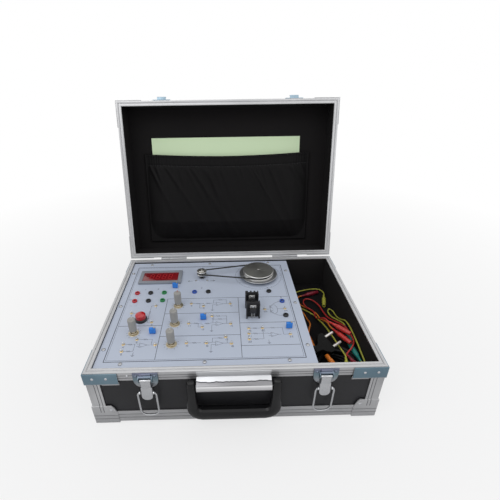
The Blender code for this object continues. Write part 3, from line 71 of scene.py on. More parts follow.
# Camera
def aim_camera():
    yaw, pitch, roll = math.radians(0.9), math.radians(30.85), math.radians(-0.74)
    forward = Vector((math.sin(yaw) * math.cos(pitch), math.cos(yaw) * math.cos(pitch), -math.sin(pitch)))
    right = Vector((math.cos(yaw), -math.sin(yaw), 0))
    up = right.cross(forward)
    side = math.cos(roll) * right + math.sin(roll) * up
    head = -math.sin(roll) * right + math.cos(roll) * up
    lens = bpy.data.cameras.new("camera")
    lens.lens = 24.88
    lens.sensor_width = 36
    lens.shift_x = 0.0402
    lens.shift_y = 0.0238
    lens.clip_start = 0.01
    camera = bpy.data.objects.new("camera", lens)
    turn = Matrix((side, head, -forward)).transposed().to_4x4()
    camera.matrix_world = Matrix.Translation((-0.0114, -0.5261, 0.4652)) @ turn
    bpy.context.scene.collection.objects.link(camera)
    bpy.context.scene.camera = camera


# Shader maths
class Port:
    """A socket of a material, so that shader maths reads as plain expressions."""

    def __init__(self, tree, socket):
        self.tree = tree
        self.socket = socket

    def __getitem__(self, name):
        return Port(self.tree, self.socket.node.outputs[name])

    def node(self, kind, settings=None, sockets=None, out=0):
        made = self.tree.nodes.new(kind)
        for name, value in (settings or {}).items():
            setattr(made, name, value)
        for name, value in (sockets or {}).items():
            if isinstance(value, Port):
                self.tree.links.new(value.socket, made.inputs[name])
            else:
                made.inputs[name].default_value = value
        return Port(self.tree, made.outputs[out] if made.outputs else None)

    def calc(self, operation, *values, clamp=False):
        settings = {"operation": operation, "use_clamp": clamp}
        return self.node("ShaderNodeMath", settings, dict(enumerate(values)))

    def __add__(self, other):
        return self.calc("ADD", self, other)

    def __sub__(self, other):
        return self.calc("SUBTRACT", self, other)

    def __mul__(self, other):
        return self.calc("MULTIPLY", self, other)

    def __lt__(self, other):
        return self.calc("LESS_THAN", self, other)

    def __gt__(self, other):
        return self.calc("GREATER_THAN", self, other)

    def __rsub__(self, other):
        return self.calc("SUBTRACT", other, self)

    def __abs__(self):
        return self.calc("ABSOLUTE", self)

    __radd__ = __add__
    __rmul__ = __mul__

    def clamp(self):
        return self.calc("ADD", self, 0.0, clamp=True)

    def root(self):
        return self.calc("SQRT", self)

    def sine(self):
        return self.calc("SINE", self)

    def band(self, middle, half):
        """1 within half of middle, else 0."""
        return abs(self - middle) < half

    def tint(self, first, second):
        """The first colour where this is 0, the second where it is 1."""
        sockets = {0: self, 6: colour(first), 7: colour(second)}
        return self.node("ShaderNodeMix", {"data_type": "RGBA"}, sockets, 2)

    def scaled(self, x, y, z):
        """This place, drawn out by unlike scales."""
        return self.node("ShaderNodeVectorMath", {"operation": "MULTIPLY"}, {0: self, 1: (x, y, z)})

    def noise(self, scale, detail=3.0, rough=0.5):
        sockets = {"Vector": self, "Scale": scale, "Detail": detail, "Roughness": rough}
        return self.node("ShaderNodeTexNoise", {}, sockets)

    def axes(self):
        split = self.node("ShaderNodeSeparateXYZ", {}, {0: self})
        return split["X"], split["Y"], split["Z"]

    def bump(self, strength, distance):
        return self.node("ShaderNodeBump", {}, {"Strength": strength, "Distance": distance, "Height": self})


def colour(value):
    return value if isinstance(value, Port) else (*value[:3], 1.0)


FINISHES = {}


def finish(name, recipe, **plain):
    """A material: recipe takes the place on the object and returns the shader's varying sockets."""
    made = bpy.data.materials.new(name)
    made.use_nodes = True
    made.node_tree.nodes.clear()
    start = Port(made.node_tree, None)
    place = start.node("ShaderNodeTexCoord", out=3)
    sockets = {key.replace("_", " ").title().replace("Ior", "IOR"): value for key, value in plain.items()}
    for key, value in recipe(place).items():
        sockets[key] = colour(value) if isinstance(value, tuple) else value
    if "Base Color" in sockets:
        sockets["Base Color"] = colour(sockets["Base Color"])
    skin = start.node("ShaderNodeBsdfPrincipled", {}, sockets)
    start.node("ShaderNodeOutputMaterial", {}, {"Surface": skin})
    FINISHES[name] = made
    return made


# Finishes
def plain_plastic(base, rough, grain=900.0, lift=0.00005):
    """Moulded plastic: a fine skin, slight cloudiness in colour and gloss."""
    def recipe(place):
        cloud = place.noise(35.0, 4.0)
        skin = place.noise(grain, 2.0)
        return {
            "Base Color": cloud.tint([c * 0.82 for c in base], [min(1, c * 1.15) for c in base]),
            "Roughness": rough - 0.08 + cloud * 0.1 + skin * 0.08,
            "Normal": skin.bump(0.35, lift)}
    return recipe


def worn_metal(base, rough, metal=1.0, scratch=0.35):
    """Sheet metal: cloudy sheen and fine scratches both ways."""
    def recipe(place):
        cloud = place.noise(22.0, 4.0)
        streaks = place.scaled(1.0, 0.06, 0.06).noise(1400.0, 3.0, 0.7)
        cross = place.scaled(0.05, 1.0, 1.0).noise(1100.0, 3.0, 0.7)
        marks = (streaks + cross) * 0.5
        return {
            "Base Color": cloud.tint([c * 0.86 for c in base], base),
            "Roughness": rough - 0.06 + cloud * 0.1 + marks * 0.12,
            "Metallic": metal,
            "Normal": marks.bump(scratch, 0.00003)}
    return recipe


def shut_place(place):
    """The place on the lid as if it were shut, measured from the hinge."""
    return place.node("ShaderNodeMapping", {"vector_type": "TEXTURE"}, {
        "Vector": place, "Location": tuple(HINGE), "Rotation": (OPEN_ANGLE, 0, 0)})


def grooves_at(value, *places):
    """1 on each groove, a millimetre wide."""
    return sum(value.band(place, 0.0005) for place in places)


def rail_metal(in_shut_lid):
    """Extruded aluminium: streaks along each run, shallow grooves, dulled by handling."""
    def recipe(place):
        spot = shut_place(place) if in_shut_lid else place
        x, y, z = spot.axes()
        across = y + LID_MIDDLE if in_shut_lid else y - CASE_MIDDLE_Y
        height = z - 0.00025 if in_shut_lid else 0.1044 - z
        post_foot = 0.035 if in_shut_lid else 0.0794
        end = abs(x) > 0.1963
        corner = (abs(x) > 0.1865) * (abs(across) > 0.1305) * (height > 0.0152) * (height < post_foot)
        long_x = spot.scaled(8, 1500, 1500).noise(1.0, 2.0, 0.6)
        long_y = spot.scaled(1500, 8, 1500).noise(1.0, 2.0, 0.6)
        long_z = spot.scaled(1500, 1500, 8).noise(1.0, 2.0, 0.6)
        grain = (long_x * (1 - end) + long_y * end) * (1 - corner) + long_z * corner
        lines = grooves_at(height, 0.006, 0.0105, *(() if in_shut_lid else (0.0865, 0.0935)))
        posts = grooves_at(abs(x), 0.1992, 0.1945, 0.190) * (1 - end)
        posts = posts + grooves_at(abs(across), 0.1432, 0.1385, 0.134) * end
        grooves = (lines * (1 - corner) + posts * corner).clamp()
        cloud = spot.noise(18.0, 4.0)
        shade = grain * 0.5 + cloud * 0.5
        metal = shade.tint((0.36, 0.365, 0.375), (0.66, 0.66, 0.67))
        if not in_shut_lid:
            inner = (abs(across) < 0.1495) * (abs(x) < 0.2055)
            plate = (abs(x) > 0.1595) * (abs(across) > 0.1035) * (height < 0.0202) * (1 - inner)
            zinc = cloud.tint((0.10, 0.17, 0.22), (0.26, 0.37, 0.44))
            grooves = grooves * (1 - plate)
            metal = plate.tint(metal, zinc)
        return {
            "Base Color": grooves.tint(metal, (0.13, 0.13, 0.14)),
            "Roughness": 0.34 + grain * 0.16 + cloud * 0.08,
            "Metallic": 0.85 - grooves * 0.3,
            "Normal": (grain * 0.12 - grooves).bump(0.5, 0.00025)}
    return recipe


def laminate(in_shut_lid):
    """Black laminate outside with a fine pebble, black cloth lining inside."""
    def recipe(place):
        spot = shut_place(place) if in_shut_lid else place
        x, y, z = spot.axes()
        across = abs(y + LID_MIDDLE) if in_shut_lid else abs(y - CASE_MIDDLE_Y)
        inside = (abs(x) < 0.2015) * (across < 0.1455)
        inside = inside * (z < 0.049 if in_shut_lid else z > 0.0045)
        pebble = spot.noise(700.0, 2.0)
        weave = spot.noise(2600.0, 2.0)
        cloud = spot.noise(14.0, 4.0)
        dust = spot.noise(260.0, 5.0, 0.75) > 0.74
        outer = dust.tint(cloud.tint((0.012, 0.012, 0.014), (0.026, 0.026, 0.029)), (0.06, 0.06, 0.062))
        inner = cloud.tint((0.006, 0.0055, 0.006), (0.013, 0.0115, 0.012))
        return {
            "Base Color": inside.tint(outer, inner),
            "Roughness": 0.38 + cloud * 0.1 + inside * 0.42,
            "Normal": (pebble * (1 - inside) + weave * inside).bump(0.45, 0.0002)}
    return recipe


def lining(place):
    """Black cloth glued on wood."""
    nap = place.noise(1800.0, 3.0)
    cloud = place.noise(16.0, 4.0)
    return {
        "Base Color": cloud.tint((0.007, 0.0065, 0.007), (0.016, 0.015, 0.016)),
        "Roughness": 0.82 + nap * 0.15,
        "Normal": nap.bump(0.6, 0.0002)}


def panel_face(place):
    """Pale blue-grey printed sheet, evenly satin, a little dusty in patches."""
    cloud = place.noise(9.0, 3.0)
    orange_peel = place.noise(420.0, 2.0)
    dust = place.noise(60.0, 6.0, 0.8)
    face = cloud.tint((0.50, 0.565, 0.70), (0.56, 0.62, 0.745))
    return {
        "Base Color": (dust * 0.25).tint(face, (0.62, 0.66, 0.74)),
        "Roughness": 0.36 + dust * 0.14,
        "Normal": orange_peel.bump(0.12, 0.00008)}


def turned_metal(centre, base, rough):
    """Turned aluminium: fine rings about its axis, and a soft radial sheen painted into its colour as a
    highlight.
    """
    def recipe(place):
        away = {"Vector": place, "Location": tuple(-c for c in centre)}
        x, y, _ = place.node("ShaderNodeMapping", {}, away).axes()
        radius = (x * x + y * y).root()
        rings = (radius * 9000.0).sine() * 0.5 + 0.5
        along = {"W": radius * 2600.0, "Detail": 2.0}
        fine = place.node("ShaderNodeTexNoise", {"noise_dimensions": "1D"}, along)
        # Painted highlight: the colour lightens and darkens round the axis like a radial sheen.
        sheen = (x.calc("ARCTAN2", y, x) * 2.0 + 0.7).sine() * 0.5 + 0.5
        return {
            "Base Color": sheen.tint([c * 0.72 for c in base], base),
            "Roughness": rough + fine * 0.12,
            "Metallic": 1.0,
            "Normal": (rings * 0.4 + fine * 0.6).bump(0.35, 0.00004)}
    return recipe


def satin(place):
    """Black satin cloth: a diagonal twill with a soft sheen."""
    x, _, z = place.axes()
    twill = ((x + z) * 4200.0).sine() * 0.5 + 0.5
    crumple = place.noise(48.0, 5.0, 0.62)
    return {
        "Base Color": crumple.tint((0.002, 0.0018, 0.002), (0.006, 0.0055, 0.006)),
        "Roughness": 0.44 + crumple * 0.18 + twill * 0.05,
        "Normal": (twill * 0.12 + crumple).bump(0.35, 0.0008)}


def paper(base):
    def recipe(place):
        fibre = place.noise(300.0, 5.0, 0.7)
        cloud = place.noise(8.0, 3.0)
        return {
            "Base Color": cloud.tint([c * 0.93 for c in base], base),
            "Roughness": 0.6 + fibre * 0.12,
            "Normal": fibre.bump(0.15, 0.0001)}
    return recipe


def page_edges(place):
    """The booklet's cut edge: fine lines of pages."""
    leaves = (shut_place(place).axes()[2] * 21000.0).sine() * 0.5 + 0.5
    return {
        "Base Color": leaves.tint((0.55, 0.57, 0.52), (0.82, 0.84, 0.78)),
        "Roughness": 0.8 + leaves * 0.1,
        "Normal": leaves.bump(0.4, 0.0001)}


def blue_zinc(place):
    """Zinc plate with a blue passivation, streaked and slightly rainbowed."""
    cloud = place.noise(26.0, 4.0)
    scratch = place.scaled(0.1, 1.0, 1.0).noise(900.0, 3.0, 0.7)
    return {
        "Base Color": cloud.tint((0.20, 0.29, 0.36), (0.36, 0.47, 0.55)),
        "Roughness": 0.24 + cloud * 0.16 + scratch * 0.1,
        "Metallic": 0.9,
        "Normal": scratch.bump(0.2, 0.00004)}


def latch_chrome(place):
    """Thin chrome over zinc, tinted blue and violet towards its top edge."""
    cloud = place.noise(30.0, 4.0)
    scratch = place.scaled(0.1, 1.0, 1.0).noise(900.0, 3.0, 0.7)
    height = (place.axes()[2] - 0.077 + (cloud - 0.5) * 0.012) * 60.0
    lower = height.clamp().tint((0.42, 0.42, 0.44), (0.18, 0.26, 0.30))
    return {
        "Base Color": (height - 1.0).clamp().tint(lower, (0.20, 0.17, 0.27)),
        "Roughness": 0.18 + cloud * 0.12 + scratch * 0.1,
        "Metallic": 0.95,
        "Normal": scratch.bump(0.2, 0.00004)}


def bracket_chrome(place):
    """A plated roll with painted reflections in its colour: pale on top, a dark wavy line along it, grey
    below and a bright lower edge.
    """
    wave = place.scaled(1.0, 0.0, 0.0).noise(45.0, 3.0) - 0.5
    cloud = place.noise(30.0, 4.0)
    reach = (place.axes()[1] + 0.204107) * -1000.0
    along = reach + wave * 7.0
    # Painted reflections: a pale band on top, a grey band below, and a painted highlight along the lower
    # edge.
    body = (along > 9.0).tint((0.60, 0.61, 0.63), (0.24, 0.24, 0.25))
    body = (reach > 14.6).tint(body, (0.72, 0.72, 0.73))
    # The dark wavy line is a painted reflection.
    dark = along.band(9.0, 0.7)
    return {
        "Base Color": dark.tint(body, (0.045, 0.045, 0.05)),
        "Roughness": 0.24 + cloud * 0.14,
        "Metallic": 0.9,
        "Normal": cloud.bump(0.1, 0.0002)}


def board_green(place):
    cloud = place.noise(60.0, 4.0)
    tracks = place.scaled(1, 0.02, 1).noise(400.0, 1.0) > 0.56
    return {
        "Base Color": tracks.tint(cloud.tint((0.01, 0.11, 0.04), (0.02, 0.17, 0.06)), (0.05, 0.30, 0.12)),
        "Roughness": 0.35 + cloud * 0.1,
        "Normal": tracks.bump(0.3, 0.00004)}


def ink(base):
    def recipe(place):
        wear = place.noise(500.0, 3.0)
        return {"Base Color": wear.tint(base, [c + 0.05 for c in base]), "Roughness": 0.42 + wear * 0.15}
    return recipe


def window_red(place):
    """A dark red filter; its faint glow, brighter towards +x, is a painted sheen."""
    cloud = place.noise(40.0, 3.0)
    # Painted sheen: the window glows brighter towards +x, though nothing behind it is lit.
    sheen = (place.axes()[0] * 6.0 + 1.35).clamp()
    painted_glow = sheen.tint((0.12, 0.004, 0.008), (0.28, 0.012, 0.016))
    return {
        "Base Color": cloud.tint((0.09, 0.004, 0.006), (0.15, 0.006, 0.010)),
        "Roughness": 0.16 + cloud * 0.05,
        "Emission Color": painted_glow}


def pale_wire(base):
    """Flexible lead: soft matt insulation."""
    def recipe(place):
        cloud = place.noise(120.0, 3.0)
        return {
            "Base Color": cloud.tint([c * 0.75 for c in base], [min(1.0, c * 1.1) for c in base]),
            "Roughness": 0.42 + cloud * 0.15,
            "Normal": cloud.bump(0.2, 0.0001)}
    return recipe


BLACK = (0.018, 0.018, 0.019)
finish("case_aluminium", rail_metal(False))
finish("lid_aluminium", rail_metal(True))
finish("case_laminate", laminate(False), specular_ior_level=0.28)
finish("lid_laminate", laminate(True), specular_ior_level=0.18)
finish("lining", lining, specular_ior_level=0.08)
finish("steel", worn_metal((0.42, 0.425, 0.44), 0.32))
finish("bright_steel", worn_metal((0.60, 0.61, 0.63), 0.22))
finish("blue_zinc", blue_zinc)
finish("latch_chrome", latch_chrome)
finish("bracket_chrome", bracket_chrome)
finish("pin_plate", worn_metal((0.78, 0.76, 0.74), 0.30, 0.6))
finish("nut_brass", worn_metal((0.56, 0.50, 0.38), 0.26))
finish("tab_metal", worn_metal((0.66, 0.66, 0.64), 0.34, 0.55))
finish("rubber", plain_plastic((0.018, 0.018, 0.018), 0.72, 500.0))
finish("black_plastic", plain_plastic(BLACK, 0.40, 800.0, 0.0001))
finish("black_gloss", plain_plastic((0.010, 0.010, 0.011), 0.24, 700.0), specular_ior_level=0.3)
finish("grey_plastic", plain_plastic((0.37, 0.365, 0.35), 0.45))
finish("red_plastic", plain_plastic((0.55, 0.012, 0.02), 0.25), coat_weight=0.4)
finish("red_mark", plain_plastic((0.50, 0.03, 0.05), 0.4))
# The window's emission is a painted glow.
finish("red_window", window_red, coat_weight=0.6, emission_strength=0.35)
finish("meter_grey", plain_plastic((0.27, 0.29, 0.33), 0.42))
finish("panel", panel_face)
finish("print", ink((0.035, 0.045, 0.075)))
finish("fine_print", ink((0.10, 0.115, 0.165)))
finish("board", board_green)
finish("dark_metal", worn_metal((0.12, 0.12, 0.13), 0.4, 0.7))
finish("black_metal", worn_metal((0.022, 0.022, 0.024), 0.42, 0.4))
finish("brass", worn_metal((0.72, 0.55, 0.28), 0.28))
finish("blue_trimmer", plain_plastic((0.03, 0.24, 0.80), 0.33))
SOCKET_HUES = {
    "red": (0.52, 0.02, 0.03), "black": BLACK, "blue": (0.03, 0.09, 0.42), "green": (0.02, 0.24, 0.07)}
for hue, base in SOCKET_HUES.items():
    finish("socket_" + hue, plain_plastic(base, 0.3))
finish("satin", satin, specular_ior_level=0.12)
finish("green_card", paper((0.80, 0.99, 0.66)))
finish("page_edges", page_edges)
finish("black_cord", plain_plastic((0.012, 0.012, 0.013), 0.45, 400.0), specular_ior_level=0.2)
finish("plug_black", plain_plastic((0.006, 0.006, 0.006), 0.5, 800.0), specular_ior_level=0.1)
finish("white_wire", paper((0.62, 0.60, 0.58)))
WIRES = {
    "yellow": (0.50, 0.50, 0.07), "red": (0.55, 0.035, 0.03), "dark_red": (0.24, 0.012, 0.03),
    "teal": (0.012, 0.22, 0.19), "orange": (0.72, 0.20, 0.02),
}
for hue, base in WIRES.items():
    finish(hue + "_wire", pale_wire(base))
    finish(hue + "_plug", plain_plastic(base, 0.36))
SLOT_FINISH = {
    "laminate": "case_laminate", "aluminium": "case_aluminium", "red_window": "red_window",
    "yellow_lead": "yellow_wire", "red_lead": "red_wire", "dark_red_lead": "dark_red_wire",
    "teal_lead": "teal_wire", "orange_lead": "orange_wire",
}
LID_FINISH = {"laminate": "lid_laminate", "aluminium": "lid_aluminium"}


# Making and keeping pieces
def finish_for(node):
    slot = SLOT_OF[node]
    if BODY_OF[node] == "lid" and slot in LID_FINISH:
        return LID_FINISH[slot]
    return SLOT_FINISH.get(slot, slot)


def keep(name, bm, body, finish_name, stands_for=(), smooth_under=38):
    """Turns a mesh into a finished piece that rides on a body."""
    bmesh.ops.remove_doubles(bm, verts=bm.verts, dist=0.000002)
    bmesh.ops.recalc_face_normals(bm, faces=bm.faces)
    for face in bm.faces:
        face.smooth = True
    for edge in bm.edges:
        edge.smooth = len(edge.link_faces) == 2 and edge.calc_face_angle(0) < math.radians(smooth_under)
    mesh = bpy.data.meshes.new(name)
    bm.to_mesh(mesh)
    bm.free()
    piece = bpy.data.objects.new(name, mesh)
    piece.data.materials.append(FINISHES[finish_name])
    bpy.context.scene.collection.objects.link(piece)
    return settle(piece, body, stands_for)


def settle(piece, body, stands_for):
    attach(piece, body)
    if stands_for:
        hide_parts(*stands_for)
    return piece


def break_edges(bm, edges, width, segments=2, **how):
    bmesh.ops.bevel(
        bm, geom=edges, offset=width * MM, segments=segments, affect="EDGES", profile=0.5, material=-1,
        clamp_overlap=True, **how)


def sharp_edges(bm, over):
    """Every edge that turns by more than an angle in degrees."""
    return [edge for edge in bm.edges if edge.is_manifold and edge.calc_face_angle(0) > math.radians(over)]


def edges_of(verts):
    return list({edge for vert in verts for edge in vert.link_edges})


def eased(node, width, finish_name=None, segments=2):
    """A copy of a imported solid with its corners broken, which stands for it."""
    bm = bmesh.new()
    bm.from_mesh(frame["nodes"][node].data)
    bmesh.ops.remove_doubles(bm, verts=bm.verts, dist=0.00001)
    bmesh.ops.dissolve_limit(
        bm, angle_limit=math.radians(0.5), use_dissolve_boundaries=False, verts=bm.verts, edges=bm.edges)
    if width:
        break_edges(bm, sharp_edges(bm, 24), width, segments, offset_type="WIDTH")
    look = finish_name or finish_for(node)
    return keep("finished_" + node, bm, BODY_OF[node], look, (node,), 50)


def turn(bm, profile, place, steps=28):
    """Spins a profile of (radius, height) in millimetres about the place's own upright axis."""
    verts = [bm.verts.new(place @ Vector((radius * MM, 0, height * MM))) for radius, height in profile]
    edges = [bm.edges.new(pair) for pair in zip(verts, verts[1:])]
    bmesh.ops.spin(
        bm, geom=verts + edges, cent=place.translation, axis=place.to_3x3().col[2], dvec=(0, 0, 0),
        angle=2 * math.pi, steps=steps, use_merge=True)


def turned(name, profile, places, steps, body, finish_name, stands_for=(), smooth_under=38):
    """One piece made of the same turned shape at each place."""
    bm = bmesh.new()
    for place in places:
        turn(bm, profile, place, steps)
    return keep(name, bm, body, finish_name, stands_for, smooth_under)


def slab(bm, place, size, break_edge=0.0, segments=2):
    """A block centred on a place, its edges broken."""
    sides = Matrix.Diagonal((*(side * MM for side in size), 1))
    made = bmesh.ops.create_cube(bm, size=1, matrix=place @ sides)
    if break_edge:
        break_edges(bm, edges_of(made["verts"]), break_edge, segments)
    return made["verts"]


def upright(x, y, z, turned_by=0.0):
    return Matrix.Translation(at(x, y, z)) @ Matrix.Rotation(turned_by, 4, "Z")


def facing(point, way, roll=0.0):
    """A place whose own upright axis points along way."""
    aim = Vector(way).to_track_quat("Z", "Y").to_matrix().to_4x4()
    return Matrix.Translation(point) @ aim @ Matrix.Rotation(roll, 4, "Z")


def cable(name, points, radius, finish_name, stands_for=(), body="case"):
    line = bpy.data.curves.new(name, "CURVE")
    line.dimensions = "3D"
    line.bevel_depth = radius
    line.bevel_resolution = 4
    line.use_fill_caps = True
    line.resolution_u = 2
    spline = line.splines.new("POLY")
    spline.points.add(len(points) - 1)
    for knot, point in zip(spline.points, points):
        knot.co = (*point, 1)
    spline.use_smooth = True
    line.materials.append(FINISHES[finish_name])
    piece = bpy.data.objects.new(name, line)
    bpy.context.scene.collection.objects.link(piece)
    return settle(piece, body, stands_for)


def smooth_route(points, count):
    """Reads a number of places from a smooth curve that runs through the given points."""
    ends = [2 * points[0] - points[1]] + points + [2 * points[-1] - points[-2]]
    lengths = [0.0]
    for one, two in zip(points, points[1:]):
        lengths.append(lengths[-1] + (two - one).length)
    read = []
    for step in range(count):
        want = lengths[-1] * step / (count - 1)
        index = max(i for i in range(len(points) - 1) if lengths[i] <= want + 1e-12)
        part = (want - lengths[index]) / (lengths[index + 1] - lengths[index])
        a, b, c, d = ends[index:index + 4]
        read.append(0.5 * (
            2 * b + (c - a) * part + (2 * a - 5 * b + 4 * c - d) * part ** 2
            + (3 * b - 3 * c + d - a) * part ** 3))
    return read


def run_of(points):
    return sum((two - one).length for one, two in zip(points, points[1:]))


aim_camera()


# Mains lead
CORD_R = 2.8


def coil_route():
    """The coil's loops: out to in and back, layer by layer, climbing where the spiral turns round."""
    per_layer, layers, fine = 1.625, 4, 48
    turns = per_layer * layers
    count = round(turns * fine)
    route = []
    for step in range(count + 1):
        done = turns * step / count
        layer, inside = divmod(done, per_layer)
        if layer == layers:
            layer, inside = layers - 1, per_layer
        inwards = inside if layer % 2 == 0 else per_layer - inside
        radius = 36.5 - 6.4 * inwards
        height = layer
        if inside > per_layer - 0.25 and layer < layers - 1:
            height += (inside - per_layer + 0.25) * 2
        if inside < 0.25 and layer > 0:
            height -= (0.25 - inside) * 2
        angle = math.pi / 2 - 2 * math.pi * done
        route.append(at(
            155.4 + radius * math.cos(angle), -100 + radius * math.sin(angle),
            36 + 0.3 + CORD_R + height * 6.1))
    straight = Vector((2 * CORD_R * MM, 0, 0))
    return [route[0] - straight] + route + [route[-1] - straight]


def mains_lead():
    coil = coil_route()
    nose = at(134.9, -58, 46.5)
    start = coil[0]
    tail_in = smooth_route([
        nose - Vector((0.004, 0, 0)), nose + Vector((0.001, 0, 0)), (nose + start) / 2,
        start - Vector((0.004, 0, -0.0003)), start], 14)
    way = Vector((0.853, 0.507, 0.128)).normalized()
    base = at(148.2, -71.3, 71.7)
    rear = base - way * 0.0283
    end = coil[-1]
    free = [end, end + Vector((-0.005, 0, 0.0004))]
    free += [at(138, -132, 60.6), at(127.5, -122, 65.4), at(120.5, -108, 67.8), at(118.7, -96, 67.4)]
    free += [rear - way * 0.005, rear + way * 0.003]
    route = tail_in[:-1] + coil + smooth_route(free, 28)[1:]
    lead = cable("mains_lead", route, CORD_R * MM, "black_cord", ("mains_coil", "mains_cord"))

    gland = turned("cord_gland_finished", (
        (0, 0), (7.0, 0), (7.0, 1.6), (6.2, 2.2), (6.2, 3.4), (7.0, 4.0), (7.0, 8.4), (6.0, 9.4), (5.2, 10.6),
        (4.7, 12.0), (5.0, 12.6), (4.4, 14.2), (4.7, 14.8), (4.1, 16.4), (4.3, 17.0), (3.7, 18.6),
        (3.9, 19.4), (3.2, 20.0), (0, 20.0)),
        [facing(at(114.9, -58, 46.5), (1, 0, 0))], 32, "case", "black_plastic",
        ("cord_gland",))

    plug_place = Matrix.Translation(base) @ way.to_track_quat("X", "Z").to_matrix().to_4x4()
    plug_place = plug_place @ Matrix.Rotation(math.radians(20), 4, "X")
    bm = bmesh.new()
    face = [bm.verts.new(plug_place @ Vector((-0.0001, side * 0.0145, lift * 0.006)))
            for side, lift in ((-1, -1), (1, -1), (1, 1), (-1, 1))]
    ring = [bm.edges.new((one, two)) for one, two in zip(face, face[1:] + face[:1])]
    bm.faces.new(face)
    shape = (
        (-2, 1.17, 1.12), (-8, 1.17, 1.12), (-9, 1.10, 1.02), (-10, 1.12, 1.06), (-12, 0.95, 0.98),
        (-13, 0.86, 0.88), (-14, 0.86, 0.92), (-18, 0.42, 0.8), (-23, 0.32, 0.66), (-28, 0.29, 0.62))
    for back, wide, thick in shape:
        grown = bmesh.ops.extrude_edge_only(bm, edges=ring)["geom"]
        verts = [item for item in grown if isinstance(item, bmesh.types.BMVert)]
        ring = [item for item in grown if isinstance(item, bmesh.types.BMEdge)]
        corners = ((-1, -1), (1, -1), (1, 1), (-1, 1))
        verts.sort(key=lambda vert: min(
            range(4), key=lambda i: (vert.co - face[i].co).length))
        for vert, (side, lift) in zip(verts, corners):
            vert.co = plug_place @ Vector((back * MM, side * 0.0145 * wide, lift * 0.006 * thick))
        face = verts
    bmesh.ops.contextual_create(bm, geom=ring)
    break_edges(bm, [edge for edge in bm.edges if edge.calc_face_angle(0) > 0.9], 1.8, 3)
    body = keep("mains_plug_body", bm, "case", "plug_black", ("mains_plug",), 50)
    bm = bmesh.new()
    for side in (-1, 1):
        pin = plug_place @ Matrix.Translation((0, side * 0.0095, 0)) @ Matrix.Rotation(math.pi / 2, 4, "Y")
        turn(bm, [(0, -4), (2.2, -4), (2.2, 17.4), (1.8, 18.5), (0.9, 19), (0, 19)], pin, 20)
    pins = keep("mains_plug_pins", bm, "case", "pin_plate")
    run_of(route)


# Patch leads: each plug's middle in millimetres, and the way its tip points in plan
PLUGS = {
    "red_front": ((173, -59, 73.4), (0.5, -0.87)),
    "red_top": ((172, -50, 82), (0.66, -0.75)),
    "teal_front": ((187, -87, 64.6), (-0.15, 0.99)),
    "teal_wall": ((191, -43, 62.6), (0, -1)),
    "yellow_front": ((165.5, -116, 64.6), (-0.2, -0.98)),
    "dark_red_front": ((180, -112, 64.6), (0.3, -0.95)),
    "yellow_back": ((184, 78, 40.4), (-0.24, -0.97)),
    "dark_red_back": ((160, 100, 40.4), (0.95, 0.32)),
    "orange_front": ((131, -30, 40.4), (0.15, -0.99)),
    "orange_rear": ((147, -110, 64.6), (-0.3, 0.95)),
}
LEADS = {
    "yellow": ("yellow_back", "yellow_front", (
        (190, 104, 40), (184, 118, 38.4), (167, 120, 38), (150, 116, 38), (134, 109.5, 38), (125.5, 95, 38),
        (124.5, 78, 38), (131, 61, 38), (145, 47, 38), (155.5, 33, 38.4), (158, 16, 43), (158.2, -4, 53),
        (159, -25, 60.6), (162, -44, 62.4), (165.5, -62, 62.6), (168.6, -80, 63))),
    "red": ("dark_red_back", "red_front", (
        (134.5, 90.5, 39.5), (131, 78.5, 38), (137, 66, 38), (149, 54, 38), (159.5, 40, 38.4),
        (162.5, 20, 42), (162.8, -2, 56), (162, -20, 67), (160.6, -32, 72))),
    "dark_red": ("red_top", "dark_red_front", (
        (154, -22, 79), (151, -4, 64), (153, 18, 47), (154, 42, 42), (144, 57, 41.4), (141, 71, 41.4),
        (148, 82, 41.4), (160, 78, 41.4), (169, 62, 41.4), (173, 40, 41.6), (176, 18, 46), (181, -10, 60),
        (187, -34, 70), (189.4, -56, 72), (189.2, -70, 71.6), (183, -82, 70.6))),
    "teal": ("teal_wall", "teal_front", (
        (190.5, -12, 60), (187, 6, 52), (183.5, 26, 43), (182.5, 42, 40), (187, 52, 39), (192.5, 45, 39.5),
        (193, 24, 44), (193.5, 4, 54), (194, -14, 66), (194.2, -34, 71), (194.2, -60, 71.5), (194, -84, 70),
        (194, -106, 67.5), (193.5, -120, 65.5), (189.5, -125.5, 64.6))),
    "orange": ("orange_front", "orange_rear", (
        (126, 4, 39), (121.5, 22, 38), (121, 42, 38), (128, 53, 38), (135, 42, 39), (137, 20, 43),
        (136, -6, 54), (128, -30, 60), (120, -58, 62), (117.2, -84, 62), (117, -100, 62), (117.4, -116, 62.6),
        (122, -130, 63.4), (134, -137.5, 63.4), (146, -138.2, 63.8))),
}
# Each plug's colour, as the leads in the photograph end in unlike plugs
PLUG_HUES = {
    "red_front": "red", "red_top": "red", "teal_front": "teal", "teal_wall": "teal",
    "yellow_front": "yellow", "dark_red_front": "dark_red", "yellow_back": "yellow",
    "dark_red_back": "dark_red", "orange_front": "orange", "orange_rear": "orange",
}
LEAD_HUES = {"yellow": "yellow", "red": "orange", "dark_red": "red", "teal": "yellow", "orange": "orange"}


